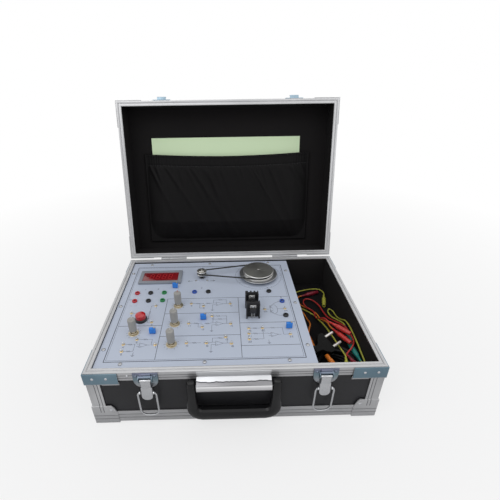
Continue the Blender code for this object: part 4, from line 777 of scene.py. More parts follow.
def patch_plug(name):
    """A moulded 4 mm plug: ribbed grip, tapered tail and a shrouded metal pin."""
    centre, way = PLUGS[name]
    place = facing(at(*centre), (*way, 0))
    grip = [(0, -19), (1.7, -19), (2.0, -13), (2.3, -12.6), (2.1, -11.4), (2.5, -11.0), (2.3, -9.8),
            (2.8, -9.4), (2.6, -8.2), (3.6, -5.6), (4.0, -4.2)]
    for rib in range(4):
        low = -3.6 + rib * 2.6
        grip += [(3.7, low), (3.7, low + 0.8), (4.0, low + 1.2), (4.0, low + 2.0)]
    grip += [(4.0, 8.4), (3.8, 9.0), (3.4, 9.4), (3.4, 18.4), (3.1, 19), (2.7, 19), (2.7, 7), (0, 7)]
    hue = PLUG_HUES[name]
    tip = ((0, 6.5), (1.5, 6.5), (1.5, 9), (1.95, 10.5), (1.95, 15), (1.4, 17.4), (0, 17.6))
    return (
        turned(name + "_plug", grip, [place], 24, "case", hue + "_plug"),
        turned(name + "_plug_tip", tip, [place], 16, "case", "bright_steel"))


def plug_rear(name, out):
    (x, y, z), (way_x, way_y) = PLUGS[name]
    way = Vector((way_x, way_y, 0)).normalized()
    return at(x, y, z) - way * (19 + out) * MM


def patch_leads():
    for hue, (one, two, places) in LEADS.items():
        points = [plug_rear(one, -1), plug_rear(one, 4)] + [at(*place) for place in places]
        points += [plug_rear(two, 4), plug_rear(two, -1)]
        route = smooth_route(points, len(points) * 5)
        wire = cable(
            hue + "_patch_wire", route, 1.25 * MM, LEAD_HUES[hue] + "_wire",
            (hue + "_patch_lead",))
        pieces = [*patch_plug(one), *patch_plug(two)]
        run_of(route)


mains_lead()
patch_leads()


# Case, lid and their fittings
for node, finish_name in (
        ("base_shell", "case_laminate"), ("lid_shell", "lid_laminate"), ("inner_frame", "lining"),
        ("transformer", "dark_metal"), ("dc_motor", "steel"), ("angle_sensor", "dark_metal"),
        ("control_panel", "panel")):
    for held in frame["nodes"][node].material_slots:
        held.material = FINISHES[finish_name]

for node in ("base_rim_rails", "base_edge_rails", "lid_rim_rails", "lid_edge_rails"):
    eased(node, 0.35)
for side in ("left", "right"):
    eased(side + "_latch_plate", 0.3, "latch_chrome")
    eased(side + "_latch_bail", 0)
    eased(side + "_latch_keeper", 0.3, "blue_zinc")
    eased(side + "_hinge_base_leaf", 0.2)
    eased(side + "_hinge_lid_leaf", 0.2)
for corner in ("front_left", "front_right", "rear_left", "rear_right"):
    eased(corner + "_foot", 0.8, segments=3)
eased("handle_bracket", 0.3, "bracket_chrome")
eased("handle", 4.0, "black_gloss", segments=5)


def tongue(bm, place, size, round_by):
    """A plate across the place's own depth, its two lower corners rounded off."""
    _, depth, upwards = place.to_3x3().col
    low = place.translation - upwards * size[2] * 0.5 * MM
    edges = [
        edge for edge in edges_of(slab(bm, place, size))
        if all((vert.co - low).dot(upwards) < 0.0001 for vert in edge.verts)
        and abs((edge.verts[1].co - edge.verts[0].co).normalized().dot(depth)) > 0.9]
    break_edges(bm, edges, round_by, 8)


def latches():
    """Each latch's two-part lever, the rolled hood over its pivot and the eyes of its wire bail."""
    for side, x in (("left", -122), ("right", 122)):
        lever = bmesh.new()
        tongue(lever, upright(x, -154.1, 83.2), (13.2, 1.5, 16.4), 4.0)
        lobe = upright(x, -155.0, 66.2) @ Matrix.Rotation(math.radians(-6), 4, "X")
        tongue(lever, lobe, (15.2, 1.9, 21.5), 6.6)
        break_edges(lever, sharp_edges(lever, 40), 0.4)
        turn(lever, [(0, -7.6), (2.0, -7.6), (2.2, -7.3), (2.2, 7.3), (2.0, 7.6), (0, 7.6)],
             facing(at(x, -153.2, 90), (1, 0, 0)), 20)
        keep(side + "_lever_plates", lever, BODY_OF[side + "_latch_lever"], "bright_steel",
             (side + "_latch_lever",))
        hood = bmesh.new()
        slab(hood, upright(x, -151.2, 97.2), (15.6, 1.8, 6.0), 0.7, 3)
        turn(hood, [(0, -8.2), (1.7, -8.2), (2.0, -7.9), (2.0, 7.9), (1.7, 8.2), (0, 8.2)],
             facing(at(x, -151.9, 95.4), (1, 0, 0)), 20)
        for way in (-1, 1):
            rivet(hood, facing(at(x + way * 12.6, -150.4, 95.5), (0, -1, 0)), 2.0, 1.2)
        keep(side + "_latch_hood", hood, "case", "latch_chrome")
        eyes = bmesh.new()
        for way in (-1, 1):
            turn(eyes, [(0, -1.2), (1.9, -1.2), (2.3, -0.8), (2.3, 0.8), (1.9, 1.2), (0, 1.2)],
                 facing(at(x + way * 9.6, -155.8, 69), (1, 0, 0)), 18)
        keep(side + "_bail_eyes", eyes, BODY_OF[side + "_latch_bail"], "bright_steel")


def pan_head(bm, place, radius=2.9, height=1.6):
    """A pan-head screw with a crossed slot, set on a surface."""
    turn(bm, [
        (0, 0), (radius, 0), (radius, height * 0.35), (radius * 0.86, height * 0.75), (radius * 0.55, height),
        (radius * 0.24, height), (radius * 0.2, height * 0.45), (0, height * 0.4)], place, 20)
    for turned_by in (0, math.pi / 2):
        slot = place @ Matrix.Rotation(turned_by, 4, "Z") @ Matrix.Translation((0, 0, height * MM))
        slab(bm, slot, (radius * 1.0, radius * 0.18, 0.06))


def rivet(bm, place, radius=2.0, height=0.9):
    turn(bm, [
        (0, -0.2), (radius, -0.2), (radius, height * 0.2), (radius * 0.8, height * 0.75),
        (radius * 0.45, height), (0, height * 1.02)], place, 18)


def corner_rivets():
    """Rivets of the rim plates and the ball-shaped corner caps, on the base."""
    on_case = bmesh.new()
    for right in (-1, 1):
        for along in (-1, 1):
            for away in (11.5, 30.0):
                rivet(on_case, facing(at(right * (205 - away), along * 150.4, 91.4), (0, along, 0)))
                rivet(on_case, facing(at(right * 206.4, along * (149 - away), 91.4), (right, 0, 0)))
            rivet(on_case, facing(at(right * 179.5, along * 150.4, 26), (0, along, 0)), 2.4, 0.9)
            rivet(on_case, facing(at(right * 206.4, along * 123.5, 26), (right, 0, 0)), 2.4, 0.9)
    for x, z in ((-146.5, 94.5), (114, 94.5)):
        rivet(on_case, facing(at(x, -149, z), (0, -1, 0)), 1.9, 0.9)
    keep("case_rivets", on_case, "case", "bright_steel")
    lips = bmesh.new()
    for right in (-1, 1):
        for along in (-1, 1):
            slab(lips, upright(right * 171, along * 148.4, 80), (24, 1.6, 5.6), 0.7, 3)
    keep("plate_lips", lips, "case", "steel")


latches()
corner_rivets()


# Control panel's printed lines, 0.06 mm proud of the sheet
def ruled(bm, x0, y0, x1, y1, width=0.5, lift=0.06):
    """One printed line, a very thin strip lying on the panel."""
    one, two = at(x0, y0, PANEL_TOP), at(x1, y1, PANEL_TOP)
    run = two - one
    length = run.length
    if length < 1e-6:
        return
    place = Matrix.Translation((one + two) / 2 + Vector((0, 0, lift / 2 * MM)))
    place = place @ run.to_track_quat("X", "Z").to_matrix().to_4x4()
    slab(bm, place, (length / MM + width * 0.6, width, lift))


def frame_lines(bm, x0, y0, x1, y1, width):
    polyline(bm, [(x0, y0), (x1, y0), (x1, y1), (x0, y1), (x0, y0)], width)


def polyline(bm, points, width=0.5):
    for (x0, y0), (x1, y1) in zip(points, points[1:]):
        ruled(bm, x0, y0, x1, y1, width)


def resistor(bm, x, y, along_y=False, length=9.0):
    """A zigzag between two short wires."""
    steps = [(-length / 2, 0), (-3.0, 0)]
    steps += [(-2.5 + i, 1.3 if i % 2 == 0 else -1.3) for i in range(6)]
    steps += [(3.0, 0), (length / 2, 0)]
    polyline(bm, [(x + (v if along_y else u), y + (u if along_y else v)) for u, v in steps])


def amplifier(bm, x, y, size=6.0):
    """A triangle with its two inputs and its output."""
    back, tip, half = x - size, x + size * 0.9, size * 0.8
    polyline(bm, [(back, y - half), (back, y + half), (tip, y), (back, y - half)])
    polyline(bm, [(tip, y), (tip + 4, y)])
    for level in (y + size * 0.4, y - size * 0.4):
        polyline(bm, [(back - 4, level), (back, level)])
        polyline(bm, [(back + 1.2, level), (back + 3, level)], 0.3)
    polyline(bm, [(back + 2.1, level - 0.9), (back + 2.1, level + 0.9)], 0.3)


def earth(bm, x, y):
    """A drop wire that ends in the three bars of an earth sign."""
    polyline(bm, [(x, y + 6), (x, y)])
    for drop, half in ((0, 2.4), (1.1, 1.5), (2.2, 0.7)):
        polyline(bm, [(x - half, y - drop), (x + half, y - drop)])


def arrow(bm, x, y, way_x, way_y):
    ruled(bm, x, y, x + way_x * 8, y + way_y * 8, 0.7)
    for side in (-1, 1):
        ruled(bm, x + way_x * 8, y + way_y * 8, x + way_x * 5 - way_y * 2.2 * side,
              y + way_y * 5 + way_x * 2.2 * side, 0.7)


def numeral(bm, text, x, y, size=3.2, weight=0.42):
    """A plain number drawn in straight strokes."""
    strokes = {
        "0": "abcdef", "1": "bc", "2": "abged", "3": "abgcd", "4": "fgbc", "5": "afgcd", "6": "afgedc",
        "7": "abc", "8": "abcdefg", "9": "abcdfg"}
    wide, tall = size * 0.52, size
    ends = {
        "a": ((0, tall), (wide, tall)), "b": ((wide, tall), (wide, tall / 2)),
        "c": ((wide, tall / 2), (wide, 0)),
        "d": ((0, 0), (wide, 0)), "e": ((0, 0), (0, tall / 2)), "f": ((0, tall / 2), (0, tall)),
        "g": ((0, tall / 2), (wide, tall / 2))}
    for index, digit in enumerate(text):
        left = x + index * size * 0.85 - len(text) * size * 0.425
        for name in strokes[digit]:
            (u0, v0), (u1, v1) = ends[name]
            ruled(bm, left + u0, y + v0, left + u1, y + v1, weight)


TEST_PLACES = (
    (-130.7, -2.3), (-167.9, -20.9), (-130.9, -44.4), (-164.1, -93.0), (-163.4, -106.9),
    (-146.1, -83.2), (-116.9, -95.0), (-70.9, 1.6), (-49.8, -5.7), (-4.5, -0.8),
    (-71.4, -49.3), (-34.8, -32.7), (-49.7, -58.3), (-5.0, -52.1), (-71.4, -92.8),
    (-41.9, -93.8), (-13.1, -81.9), (-4.8, -95.9), (23.0, -63.9), (44.2, -63.9),
    (22.6, -75.7), (22.2, -87.7), (85.1, -78.8), (86.5, -17.4), (52.9, -17.9),
)
KNOB_PLACES = ((-92.3, -3.2), (-93.3, -49.7), (-93.1, -94.8), (-154.0, -68.8))
TRIMMER_PLACES = ((-103.6, 50.7), (-48.4, -39.5), (-124.7, -69.6), (85.6, -64.4))
SOCKETS = (
    ("red", -169.4, 34.1), ("red", -169.4, 11.1), ("black", -145.8, 34.1), ("black", -145.8, 11.1),
    ("blue", -67.5, 34.3), ("black", -42.9, 34.3), ("black", 65.5, 31.8), ("black", 85.2, -35.5),
    ("blue", 84.7, 2.0), ("green", -121.5, 34.1), ("green", -121.5, 11.5),
)


# The circuit drawn on the panel: its wires, and the places of its signs
WIRE_RUNS = (
    ((-130.7, -2.3), (-138, -2.3), (-138, -14)), ((-138, -24), (-138, -44.4), (-130.9, -44.4)),
    ((-167.9, -20.9), (-160, -20.9), (-160, -26)), ((-164.1, -93), (-158, -93)),
    ((-163.4, -106.9), (-158, -106.9)), ((-149, -93), (-147, -93), (-147, -106.9), (-149.5, -106.9)),
    ((-146.1, -83.2), (-138, -83.2)), ((-128, -83), (-123, -83), (-123, -95), (-116.9, -95)),
    ((-49.8, -5.7), (-49.8, -11), (-56, -11), (-56, 1)), ((-49.7, -58.3), (-56, -58.3), (-56, -49.3)),
    ((-34.8, -32.7), (-29, -32.7)), ((-20, -32.7), (-11, -32.7), (-11, -50)), ((-13.1, -81.9), (-11, -84)),
    ((52.9, -17.9), (60, -17.9)), ((74, -17.4), (86.5, -17.4)), ((84.7, 2), (78, 2), (68, -4)),
    ((85.2, -35.5), (78, -35.5), (68, -31)), ((44.2, -63.9), (44.2, -87.7)), ((44.2, -75.7), (52, -75.7)),
    ((44.2, -63.9), (55.5, -63.9)), ((64.5, -63.9), (75, -63.9), (75, -78.8), (85.1, -78.8)),
)
RESISTORS = (
    (-138, -19, True), (-154, -93, False, 7), (-153.5, -106.9, False, 8), (-133, -83, False, 10),
    (-24.5, -32.7), (60, -63.9),
)
AMPLIFIERS = ((-134, -95), (62, -78.8))
EARTHS = ((-138, -34), (-146, -115), (51, -96))


def panel_print():
    bold, fine = bmesh.new(), bmesh.new()
    frame_lines(bold, -184, -126.6, 99.3, 122, 1.1)
    frame_lines(fine, -181.4, -124, 96.7, 119.4, 0.4)
    for x0, y0, x1, y1 in (
            (-113, 16.4, -113, -123.5), (9.6, 16.4, 9.6, -123.5), (-180.5, 16.4, -176, 16.4),
            (-113, 16.4, 96, 16.4), (-112.5, -24.1, 9.6, -24.1), (-112.5, -77.4, 9.6, -77.4),
            (-180.8, -52.4, -113, -52.4), (9.6, -50.7, 96.2, -50.7), (9.6, -100.7, 96.2, -100.7)):
        ruled(bold, x0, y0, x1, y1, 0.75)
    for x, y in ((-168, -1), (-176, -1)):
        ruled(fine, x, y, x + 5, y, 0.3)
    for points in WIRE_RUNS:
        polyline(fine, points)
    for sign, places in ((resistor, RESISTORS), (amplifier, AMPLIFIERS), (earth, EARTHS)):
        for place in places:
            sign(fine, *place)
    # Three stages in the middle
    for row, top in enumerate((1.6, -49.3, -92.8)):
        polyline(fine, [(-71.4, top), (-64, top)])
        resistor(fine, -59.5, top)
        polyline(fine, [(-55, top), (-49.8, top)])
        resistor(fine, -42, top - 1 if row else top)
        polyline(fine, [(-37.5, top), (-33, top)])
        amplifier(fine, -22, top - 2)
        polyline(fine, [(-33, top), (-33, top + 9), (-26, top + 9)])
        resistor(fine, -21.5, top + 9, False, 9)
        polyline(fine, [(-17, top + 9), (-11, top + 9), (-11, top - 2)])
        polyline(fine, [(-12.5, top - 2), (-5, top - 2)])
        polyline(fine, [(-32, top - 4.4), (-34.6, top - 4.4), (-34.6, top - 12)])
        earth(fine, -34.6, top - 18)
    # Power stage and feedback stage, right
    for x, y, way in ((62, -12, 1), (62, -24, -1)):
        polyline(fine, [(x, y - 4), (x, y + 4)])
        polyline(fine, [(x, y), (x + 5, y + 4 * way)])
        polyline(fine, [(x, y), (x + 5, y - 4 * way)])
    circle = [(68 + 6 * math.cos(angle / 10), -18 + 12 * math.sin(angle / 10))
              for angle in [math.pi * step for step in range(21)]]
    polyline(fine, circle)
    for y in (-63.9, -75.7, -87.7):
        polyline(fine, [(23, y), (28, y)])
        resistor(fine, 32.5, y)
        polyline(fine, [(37, y), (44.2, y)])
    # Degree ring round the angle disc
    for step in range(72):
        angle = math.radians(step * 5)
        inner = 40.5 if step % 6 == 0 else (42.0 if step % 2 == 0 else 42.8)
        ruled(fine, 51 + inner * math.cos(angle), 82.9 + inner * math.sin(angle) * 0.98,
              51 + 44 * math.cos(angle), 82.9 + 44 * math.sin(angle) * 0.98, 0.3)
    angles = [math.radians(step * 4) for step in range(91)]
    polyline(fine, [(51 + 44 * math.cos(angle), 82.9 + 43.1 * math.sin(angle)) for angle in angles], 0.3)
    arrow(bold, -74, 70.5, -1, 0)
    arrow(bold, -40, 70.5, 1, 0)
    for index, (x, y) in enumerate(TEST_PLACES, start=1):
        numeral(bold, str(index), x + 1.3, y - 7.2)
    for index, (x, y) in enumerate(KNOB_PLACES, start=1):
        for step in range(11):
            angle = math.radians(-60 + step * 30)
            inner, outer = 9.6, 11.4
            ruled(bold, x + inner * math.cos(angle), y + inner * math.sin(angle),
                  x + outer * math.cos(angle), y + outer * math.sin(angle), 0.45)
    for digits, x, y in (("1", -157.5, 45), ("2", -133.5, 45), ("3", -55, 46), ("4", 65, 42), ("5", 85, 12)):
        numeral(bold, digits, x, y, 3.6)
    keep("panel_print_bold", bold, "case", "print")
    keep("panel_print_fine", fine, "case", "fine_print")


panel_print()


# Sockets, test pins, trimmers and potentiometers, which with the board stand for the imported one
def board_under_panel():
    bm = bmesh.new()
    bm.from_mesh(frame["nodes"]["circuit_board"].data)
    bmesh.ops.remove_doubles(bm, verts=bm.verts, dist=0.00001)
    cut = bmesh.ops.bisect_plane(
        bm, geom=bm.verts[:] + bm.edges[:] + bm.faces[:], plane_co=at(0, 0, 95.0), plane_no=(0, 0, 1),
        clear_outer=True)
    bmesh.ops.holes_fill(bm, edges=[item for item in cut["geom_cut"] if isinstance(item, bmesh.types.BMEdge)])
    return keep("circuit_board_below", bm, "case", "board", ("circuit_board",))


board_under_panel()


def panel_sockets():
    """4 mm sockets: a coloured insulating head with a flat, and a plated bush inside."""
    head = (
        (0, -3.2), (3.0, -3.2), (3.0, 0.25), (4.4, 0.25), (4.4, 2.1), (4.1, 2.8), (3.6, 3.0), (2.3, 3.0),
        (2.1, 2.8), (2.1, 1.2), (2.5, 1.2), (2.5, -2.8), (0, -2.8))
    for hue in SOCKET_HUES:
        places = [upright(x, y, PANEL_TOP) for name, x, y in SOCKETS if name == hue]
        turned(hue + "_sockets", head, places, 30, "case", "socket_" + hue)
    bush = ((0, -2.7), (2.05, -2.7), (2.05, 1.1), (2.45, 1.1), (2.45, -2.75), (0, -2.75))
    places = [upright(x, y, PANEL_TOP) for _, x, y in SOCKETS]
    turned("socket_bushes", bush, places, 20, "case", "bright_steel")


def test_pins():
    """Plated turret pins, each in a small brass collar."""
    places = [upright(x, y, PANEL_TOP) for x, y in TEST_PLACES]
    collar = ((0, 0), (2.5, 0), (2.5, 0.4), (2.0, 0.8), (0, 0.8))
    turned("test_collars", collar, places, 12, "case", "brass")
    turned("test_pins", (
        (0, 0.6), (0.9, 0.6), (0.9, 1.4), (1.35, 1.6), (1.35, 2.1), (0.85, 2.3), (0.85, 3.2), (1.35, 3.4),
        (1.35, 3.9), (0.9, 4.2), (0, 4.3)), places, 12, "case", "bright_steel")


def trimmers():
    bodies, bases = bmesh.new(), bmesh.new()
    for x, y in TRIMMER_PLACES:
        slab(bodies, upright(x, y, PANEL_TOP + 5.4), (9.5, 4.8, 9.2), 0.45, 3)
        slab(bases, upright(x, y, PANEL_TOP + 0.5), (8.6, 4.0, 0.5), 0.1, 1)
    keep("trimmer_bodies", bodies, "case", "blue_trimmer")
    keep("trimmer_bases", bases, "case", "black_plastic")
    for index in range(1, 5):
        eased(f"trimmer_screw_{index}", 0.1)


def pot_nuts():
    """Each potentiometer's threaded bush with its hexagon nut and washer."""
    bm = bmesh.new()
    for x, y in KNOB_PLACES:
        turn(bm, [(0, 0.05), (8.2, 0.05), (8.2, 0.75), (7.8, 1.0), (3.6, 1.0), (0, 1.0)],
             upright(x, y, PANEL_TOP), 36)
        turn(bm, [(0, 0.9), (6.5, 0.9), (6.9, 1.2), (6.9, 3.1), (6.4, 3.6), (3.6, 3.6), (0, 3.6)],
             upright(x, y, PANEL_TOP, 0.3), 6)
        thread = [(0, 3.4)]
        for step in range(3):
            thread += [(3.5, 3.6 + step * 0.7), (3.2, 3.95 + step * 0.7)]
        turn(bm, thread + [(2.95, 5.6), (0, 5.6)], upright(x, y, PANEL_TOP), 24)
        turn(bm, [(0, 5.4), (2.9, 5.4), (2.9, 7.8), (0, 7.8)], upright(x, y, PANEL_TOP), 20)
    keep("pot_nuts", bm, "case", "nut_brass", smooth_under=30)


KNOB_FLUTES = 18
KNOB_PROFILE = (
    (0, 8.0), (3.4, 8.0), (3.4, 6.0), (5.3, 6.0), (5.6, 6.3), (5.7, 8.0), (5.8, 11.0), (5.8, 12.5),
    (5.9, 13.2), (6.0, 22.5), (5.9, 26.2), (5.4, 27.5), (4.4, 28.0), (3.6, 27.8), (0, 27.7))


def knobs():
    """Grey push-on knobs: a skirt, a fluted grip, a slightly domed top and a pointer line."""
    for index, (x, y) in enumerate(KNOB_PLACES, start=1):
        place = upright(x, y, PANEL_TOP)
        bm = bmesh.new()
        turn(bm, KNOB_PROFILE, place, 72)
        inward = place.inverted()
        for vert in bm.verts:
            spot = inward @ vert.co
            if 13 * MM < spot.z < 26 * MM:
                depth = 0.16 * MM * (1 + math.cos(KNOB_FLUTES * math.atan2(spot.y, spot.x)))
                spot.xy *= 1 - depth / spot.xy.length
                vert.co = place @ spot
        node = f"knob_{index}"
        keep(node + "_body", bm, node, "grey_plastic", (node,), 45)
        bm = bmesh.new()
        slab(bm, place @ Matrix.Translation((0, 3.0 * MM, 27.95 * MM)), (0.9, 4.6, 0.25), 0.1, 1)
        slab(bm, place @ Matrix.Translation((0, 5.83 * MM, 19.5 * MM)) @ Matrix.Rotation(0.02, 4, "X"),
             (0.9, 0.5, 14.0), 0.1, 1)
        mark = "red_mark" if index == 1 else "white_wire"
        keep(node + "_pointer", bm, node, mark)


def push_button():
    place = upright(-148.5, -38.3, PANEL_TOP)
    turned("button_dome", (
        (0, -3), (3.4, -3), (3.4, 4.5), (7.6, 4.5), (8.1, 4.9), (8.2, 5.4), (8.2, 10.2), (8.0, 11.0),
        (7.4, 11.8), (6.4, 12.4), (4.8, 12.8), (2.6, 13.0), (0, 13.0)),
        [place], 48, "button", "red_plastic", ("button_cap",))
    turned("button_ring", (
        (0, -12), (7.2, -12), (7.2, 0.05), (9.6, 0.05), (9.6, 3.2), (9.4, 4.2), (9.0, 4.8), (8.5, 5.0),
        (8.5, 1.6), (4.0, 1.6), (4.0, -8), (0, -8)),
        [place], 48, "case", "black_plastic", ("button_collar",))


def meter():
    """Panel meter: bevelled bezel, dark red window, and unlit figures behind it."""
    eased("meter_housing", 0.7, segments=3)
    eased("meter_window", 0.15)
    x, y = -134.4, 82.8
    bm = bmesh.new()
    for index in range(4):
        left = x - 20.5 + index * 11.5
        for u0, v0, u1, v1 in (
                (0, 14, 6.4, 14), (6.4, 14, 6.4, 7), (6.4, 7, 6.4, 0), (0, 0, 6.4, 0), (0, 0, 0, 7),
                (0, 7, 0, 14), (0, 7, 6.4, 7)):
            slant = 0.12
            one = at(left + u0 + v0 * slant, y - 7 + v0, PANEL_TOP + 3.85)
            two = at(left + u1 + v1 * slant, y - 7 + v1, PANEL_TOP + 3.85)
            run = two - one
            place = Matrix.Translation((one + two) / 2) @ run.to_track_quat("X", "Z").to_matrix().to_4x4()
            slab(bm, place, (run.length / MM - 1.0, 1.1, 0.12))
    keep("meter_figures", bm, "case", "meter_digits")


MOTOR_PLACE, DISC_PLACE = (-56.5, 82.9, PANEL_TOP), (51.0, 82.9, PANEL_TOP)


def drive():
    """Motor pulley, and the stepped disc on its flange."""
    disc = [upright(*DISC_PLACE)]
    turned("motor_pulley_turned", (
        (1.5, 6.9), (8.6, 6.9), (9.0, 7.3), (9.0, 8.8), (6.3, 10.2), (6.3, 11.8), (9.0, 13.2), (9.0, 14.6),
        (8.6, 15.1), (5.2, 15.1), (5.0, 16.2), (4.6, 16.4), (1.6, 16.4), (1.6, 15.4), (0, 15.4)),
        [upright(*MOTOR_PLACE)], 48, "pulley", "turned_pulley", ("motor_pulley",), 30)
    turned("angle_disc_flange", (
        (0, 6.0), (35.1, 6.0), (35.5, 6.4), (35.5, 7.0), (35.1, 7.4), (31.2, 7.5), (30.8, 7.3), (0, 7.3)),
        disc, 96, "disc", "steel", smooth_under=20)
    turned("angle_disc_drum", (
        (0, 7.3), (28.6, 7.3), (28.6, 8.9), (26.9, 9.9), (25.9, 10.3), (25.9, 11.7), (26.9, 12.1),
        (28.1, 12.7), (28.5, 13.1), (28.5, 14.0), (27.9, 14.6), (2.1, 14.6), (1.9, 14.2), (0, 14.2)),
        disc, 96, "disc", "turned_disc", ("angle_disc",), 30)


def power_stage():
    """Finned heat sinks, each with a transistor: black body, plated tab with its screw, three legs."""
    for name, y in (("front", -34.6), ("rear", -8.0)):
        eased(name + "_heat_sink", 0.25)
        back = y - 1.8 - 0.3
        body = bmesh.new()
        slab(body, upright(31.4, back - 2.7, PANEL_TOP + 14.8), (10, 3.0, 9), 0.5, 2)
        keep(name + "_chip_body", body, "case", "black_plastic", (name + "_power_transistor",))
        metal = bmesh.new()
        slab(metal, upright(31.4, back - 0.6, PANEL_TOP + 20.7), (10, 1.2, 6.6), 0.2, 1)
        slab(metal, upright(31.4, back - 0.6, PANEL_TOP + 14.8), (10, 1.1, 8.9), 0.1, 1)
        for step in (-2.54, 0, 2.54):
            slab(metal, upright(31.4 + step, back - 2.1, PANEL_TOP + 4.6), (0.7, 0.7, 13), 0.1, 1)
        keep(name + "_chip_metal", metal, "case", "tab_metal")
        screw = bmesh.new()
        pan_head(screw, facing(at(31.4, back - 1.2, PANEL_TOP + 20.9), (0, -1, 0)), 2.3, 1.5)
        keep(name + "_chip_screw", screw, "case", "steel")


panel_sockets()
test_pins()
trimmers()
pot_nuts()
knobs()
push_button()
finish("meter_digits", plain_plastic((0.42, 0.015, 0.02), 0.4))
meter()
finish("turned_pulley", turned_metal(at(*MOTOR_PLACE), (0.74, 0.73, 0.70), 0.26))
finish("turned_disc", turned_metal(at(*DISC_PLACE), (0.74, 0.735, 0.71), 0.28))
drive()
eased("drive_belt", 0)
power_stage()


def panel_screws():
    bm = bmesh.new()
    places = [(x, y) for x in (-159.5, -42.8, 75.4) for y in (131, -131)]
    places += [(x, y) for x in (-190.2, 106.6) for y in (99.8, -2.3, -102.5)]
    for index, (x, y) in enumerate(places):
        pan_head(bm, upright(x, y, PANEL_TOP + 0.02, index * 0.7))
    for dx in (-10.5, 10.5):
        pan_head(bm, upright(-56.5 + dx, 71.2, PANEL_TOP + 0.02, dx), 2.2, 1.2)
    keep("panel_screws", bm, "case", "steel")


panel_screws()


# Pocket and booklet in the lid
POCKET_SEAM = 0.885  # the elastic band's lower edge, as a share of the height


def on_pocket(share, up, lift):
    """A point over the pocket: share across the lid, up it, lift in millimetres off it."""
    low, top = 24, 205 - 6 * math.sin(math.pi * share)
    return in_lid(-170 + 334 * share, low + (top - low) * up, 43.8 - lift)


def pocket_lift(share, up, ridges):
    """How far the cloth stands off the lid, in millimetres."""
    edge = 1 - abs(2 * share - 1)
    swell = min(1.0, (edge * 5) ** 0.6) * min(1.0, (up * 4) ** 0.7)
    lift = (15 - 4 * up ** 3) * swell
    seam = POCKET_SEAM
    if up < seam:
        below = seam - up
        fold = 0.0
        for start, lean, height, width, reach in ridges:
            middle = start + lean * below
            spread = width * (1 + 1.6 * below)
            away = (share - middle) / spread
            fold += height * math.exp(-away * away) * math.exp(-below / reach) * (1 - math.exp(-below * 40))
        lift += fold * min(1, edge * 8)
    in_band = 1 / (1 + math.exp(-(up - seam) * 120))
    gather = math.sin(2 * math.pi * 62 * share + 3.0 * math.sin(11 * share)) * 0.6
    gather += math.sin(2 * math.pi * 101 * share + 2.0 * math.sin(7 * share)) * 0.3
    lift += gather * in_band * min(1, edge * 8)
    crease = math.exp(-((up - seam) / 0.008) ** 2)
    pucker = 0.7 + 0.5 * math.sin(2 * math.pi * 88 * share)
    lift -= 1.5 * crease * pucker
    lift += 0.8 * math.exp(-((up - 0.985) / 0.008) ** 2)
    return lift


def lid_pocket():
    seeded = random.Random(11)
    ridges = []
    for index in range(26):
        start = 0.03 + 0.94 * (index + seeded.uniform(-0.35, 0.35)) / 26
        ridges.append((
            start, seeded.uniform(0.14, 0.34), seeded.uniform(0.9, 3.2), seeded.uniform(0.005, 0.012),
            seeded.uniform(0.15, 0.55)))
    across, along = 300, 150
    bm = bmesh.new()
    grid = bmesh.ops.create_grid(bm, x_segments=across, y_segments=along, size=0.5)["verts"]
    inner = []
    for vert in grid:
        column, row = round((vert.co.x + 0.5) * across), round((vert.co.y + 0.5) * along)
        share, up = column / across, row / along
        sewn = row == 0 or column in (0, across)
        lift = 0.4 if sewn else max(pocket_lift(share, up, ridges), 4.1)
        vert.co = on_pocket(share, up, lift)
        if 2 <= row < along and 2 <= column <= across - 2:
            inner.append(vert)
    flat = bpy.data.meshes.new("pocket_cloth")
    bmesh.ops.smooth_vert(bm, verts=inner, factor=0.5, use_axis_x=True, use_axis_y=True, use_axis_z=True)
    for face in bm.faces:
        face.smooth = True
    bmesh.ops.recalc_face_normals(bm, faces=bm.faces)
    bm.to_mesh(flat)
    bm.free()
    cloth = bpy.data.objects.new("pocket_cloth", flat)
    flat.materials.append(FINISHES["satin"])
    bpy.context.scene.collection.objects.link(cloth)
    wall = cloth.modifiers.new("cloth", "SOLIDIFY")
    wall.thickness = 0.0009
    wall.offset = 0
    settle(cloth, "lid", ("lid_pocket",))

    seam = bmesh.new()
    for column in range(0, across, 2):
        share = column / across
        if 0.02 < share < 0.98:
            spot = on_pocket(share, POCKET_SEAM, pocket_lift(share, POCKET_SEAM, ridges) + 0.55)
            slab(seam, Matrix.Translation(spot) @ LID_OPEN.to_3x3().to_4x4(), (1.3, 0.45, 0.4), 0.12, 1)
    keep("pocket_stitches", seam, "lid", "thread")


def booklet():
    place = LID_OPEN @ Matrix.Translation((-5 * MM, -133 * MM, 42.25 * MM))
    cover, pages = bmesh.new(), bmesh.new()
    for offset, size in (
            ((0, 0, -1.3), (296, 209, 0.4)), ((0, 0, 1.3), (296, 209, 0.4)),
            ((-147.8, 0, 0), (0.4, 209, 2.8))):
        slab(cover, place @ Matrix.Translation(Vector(offset) * MM), size, 0.12, 2)
    for layer in range(5):
        offset = Vector((0.2 * (layer % 2), -0.15 * (layer % 3), (layer - 2) * 0.44)) * MM
        slab(pages, place @ Matrix.Translation(offset), (294.6, 207.8, 0.4), 0.05, 1)
    keep("booklet_cover", cover, "booklet", "green_card", ("booklet",))
    keep("booklet_pages", pages, "booklet", "page_edges")


finish("thread", plain_plastic((0.10, 0.10, 0.11), 0.6))
lid_pocket()
booklet()


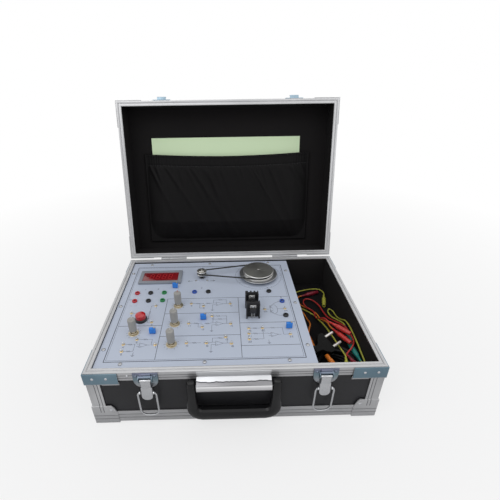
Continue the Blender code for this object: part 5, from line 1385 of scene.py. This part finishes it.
# Light, floor and the last lines
def stage_and_light():
    world = bpy.data.worlds.new("studio")
    world.use_nodes = True
    world.node_tree.nodes.clear()
    start = Port(world.node_tree, None)
    seen = start.node("ShaderNodeLightPath")
    shown = (seen["Is Camera Ray"] + seen["Is Glossy Ray"] + seen["Is Transmission Ray"]).clamp()
    strength = 0.45 + shown * 0.55
    sky = start.node("ShaderNodeBackground", {}, {"Color": (1, 1, 1, 1), "Strength": strength})
    start.node("ShaderNodeOutputWorld", {}, {"Surface": sky})
    bpy.context.scene.world = world

    for name, place, size, power in (
            ("key", (-0.9, -1.1, 1.7), 1.3, 9), ("fill", (1.2, -0.9, 1.3), 1.4, 4),
            ("top", (0.1, 0.3, 2.0), 1.6, 6)):
        lamp = bpy.data.lights.new(name, "AREA")
        lamp.size = size
        lamp.energy = power
        holder = bpy.data.objects.new(name, lamp)
        aim = (Vector((0, 0, 0.1)) - Vector(place)).to_track_quat("-Z", "Y").to_matrix().to_4x4()
        holder.matrix_world = Matrix.Translation(place) @ aim
        bpy.context.scene.collection.objects.link(holder)

    bm = bmesh.new()
    bmesh.ops.create_circle(bm, cap_ends=True, segments=64, radius=6)
    mesh = bpy.data.meshes.new("floor")
    bm.to_mesh(mesh)
    bm.free()
    floor = bpy.data.objects.new("floor", mesh)
    floor.location = (0, 0, -0.0002)
    made = bpy.data.materials.new("floor")
    made.use_nodes = True
    made.node_tree.nodes.clear()
    start = Port(made.node_tree, None)
    x, y, z = start.node("ShaderNodeTexCoord", out=3).axes()
    radius = x.calc("SQRT", x * x + y * y)
    lit = (radius * 1.1 - 0.15).clamp() * 0.35 + 0.65
    pale = start.node("ShaderNodeBsdfDiffuse", {}, {"Color": (0.82, 0.82, 0.83, 1)})
    white = start.node("ShaderNodeEmission", {}, {"Color": (1, 1, 1, 1), "Strength": 1.0})
    seen = start.node("ShaderNodeLightPath")
    mix = start.node("ShaderNodeMixShader", {}, {0: seen["Is Camera Ray"] * lit, 1: pale, 2: white})
    start.node("ShaderNodeOutputMaterial", {}, {"Surface": mix})
    floor.data.materials.append(made)
    bpy.context.scene.collection.objects.link(floor)
    bpy.context.scene.view_settings.view_transform = "Standard"


stage_and_light()
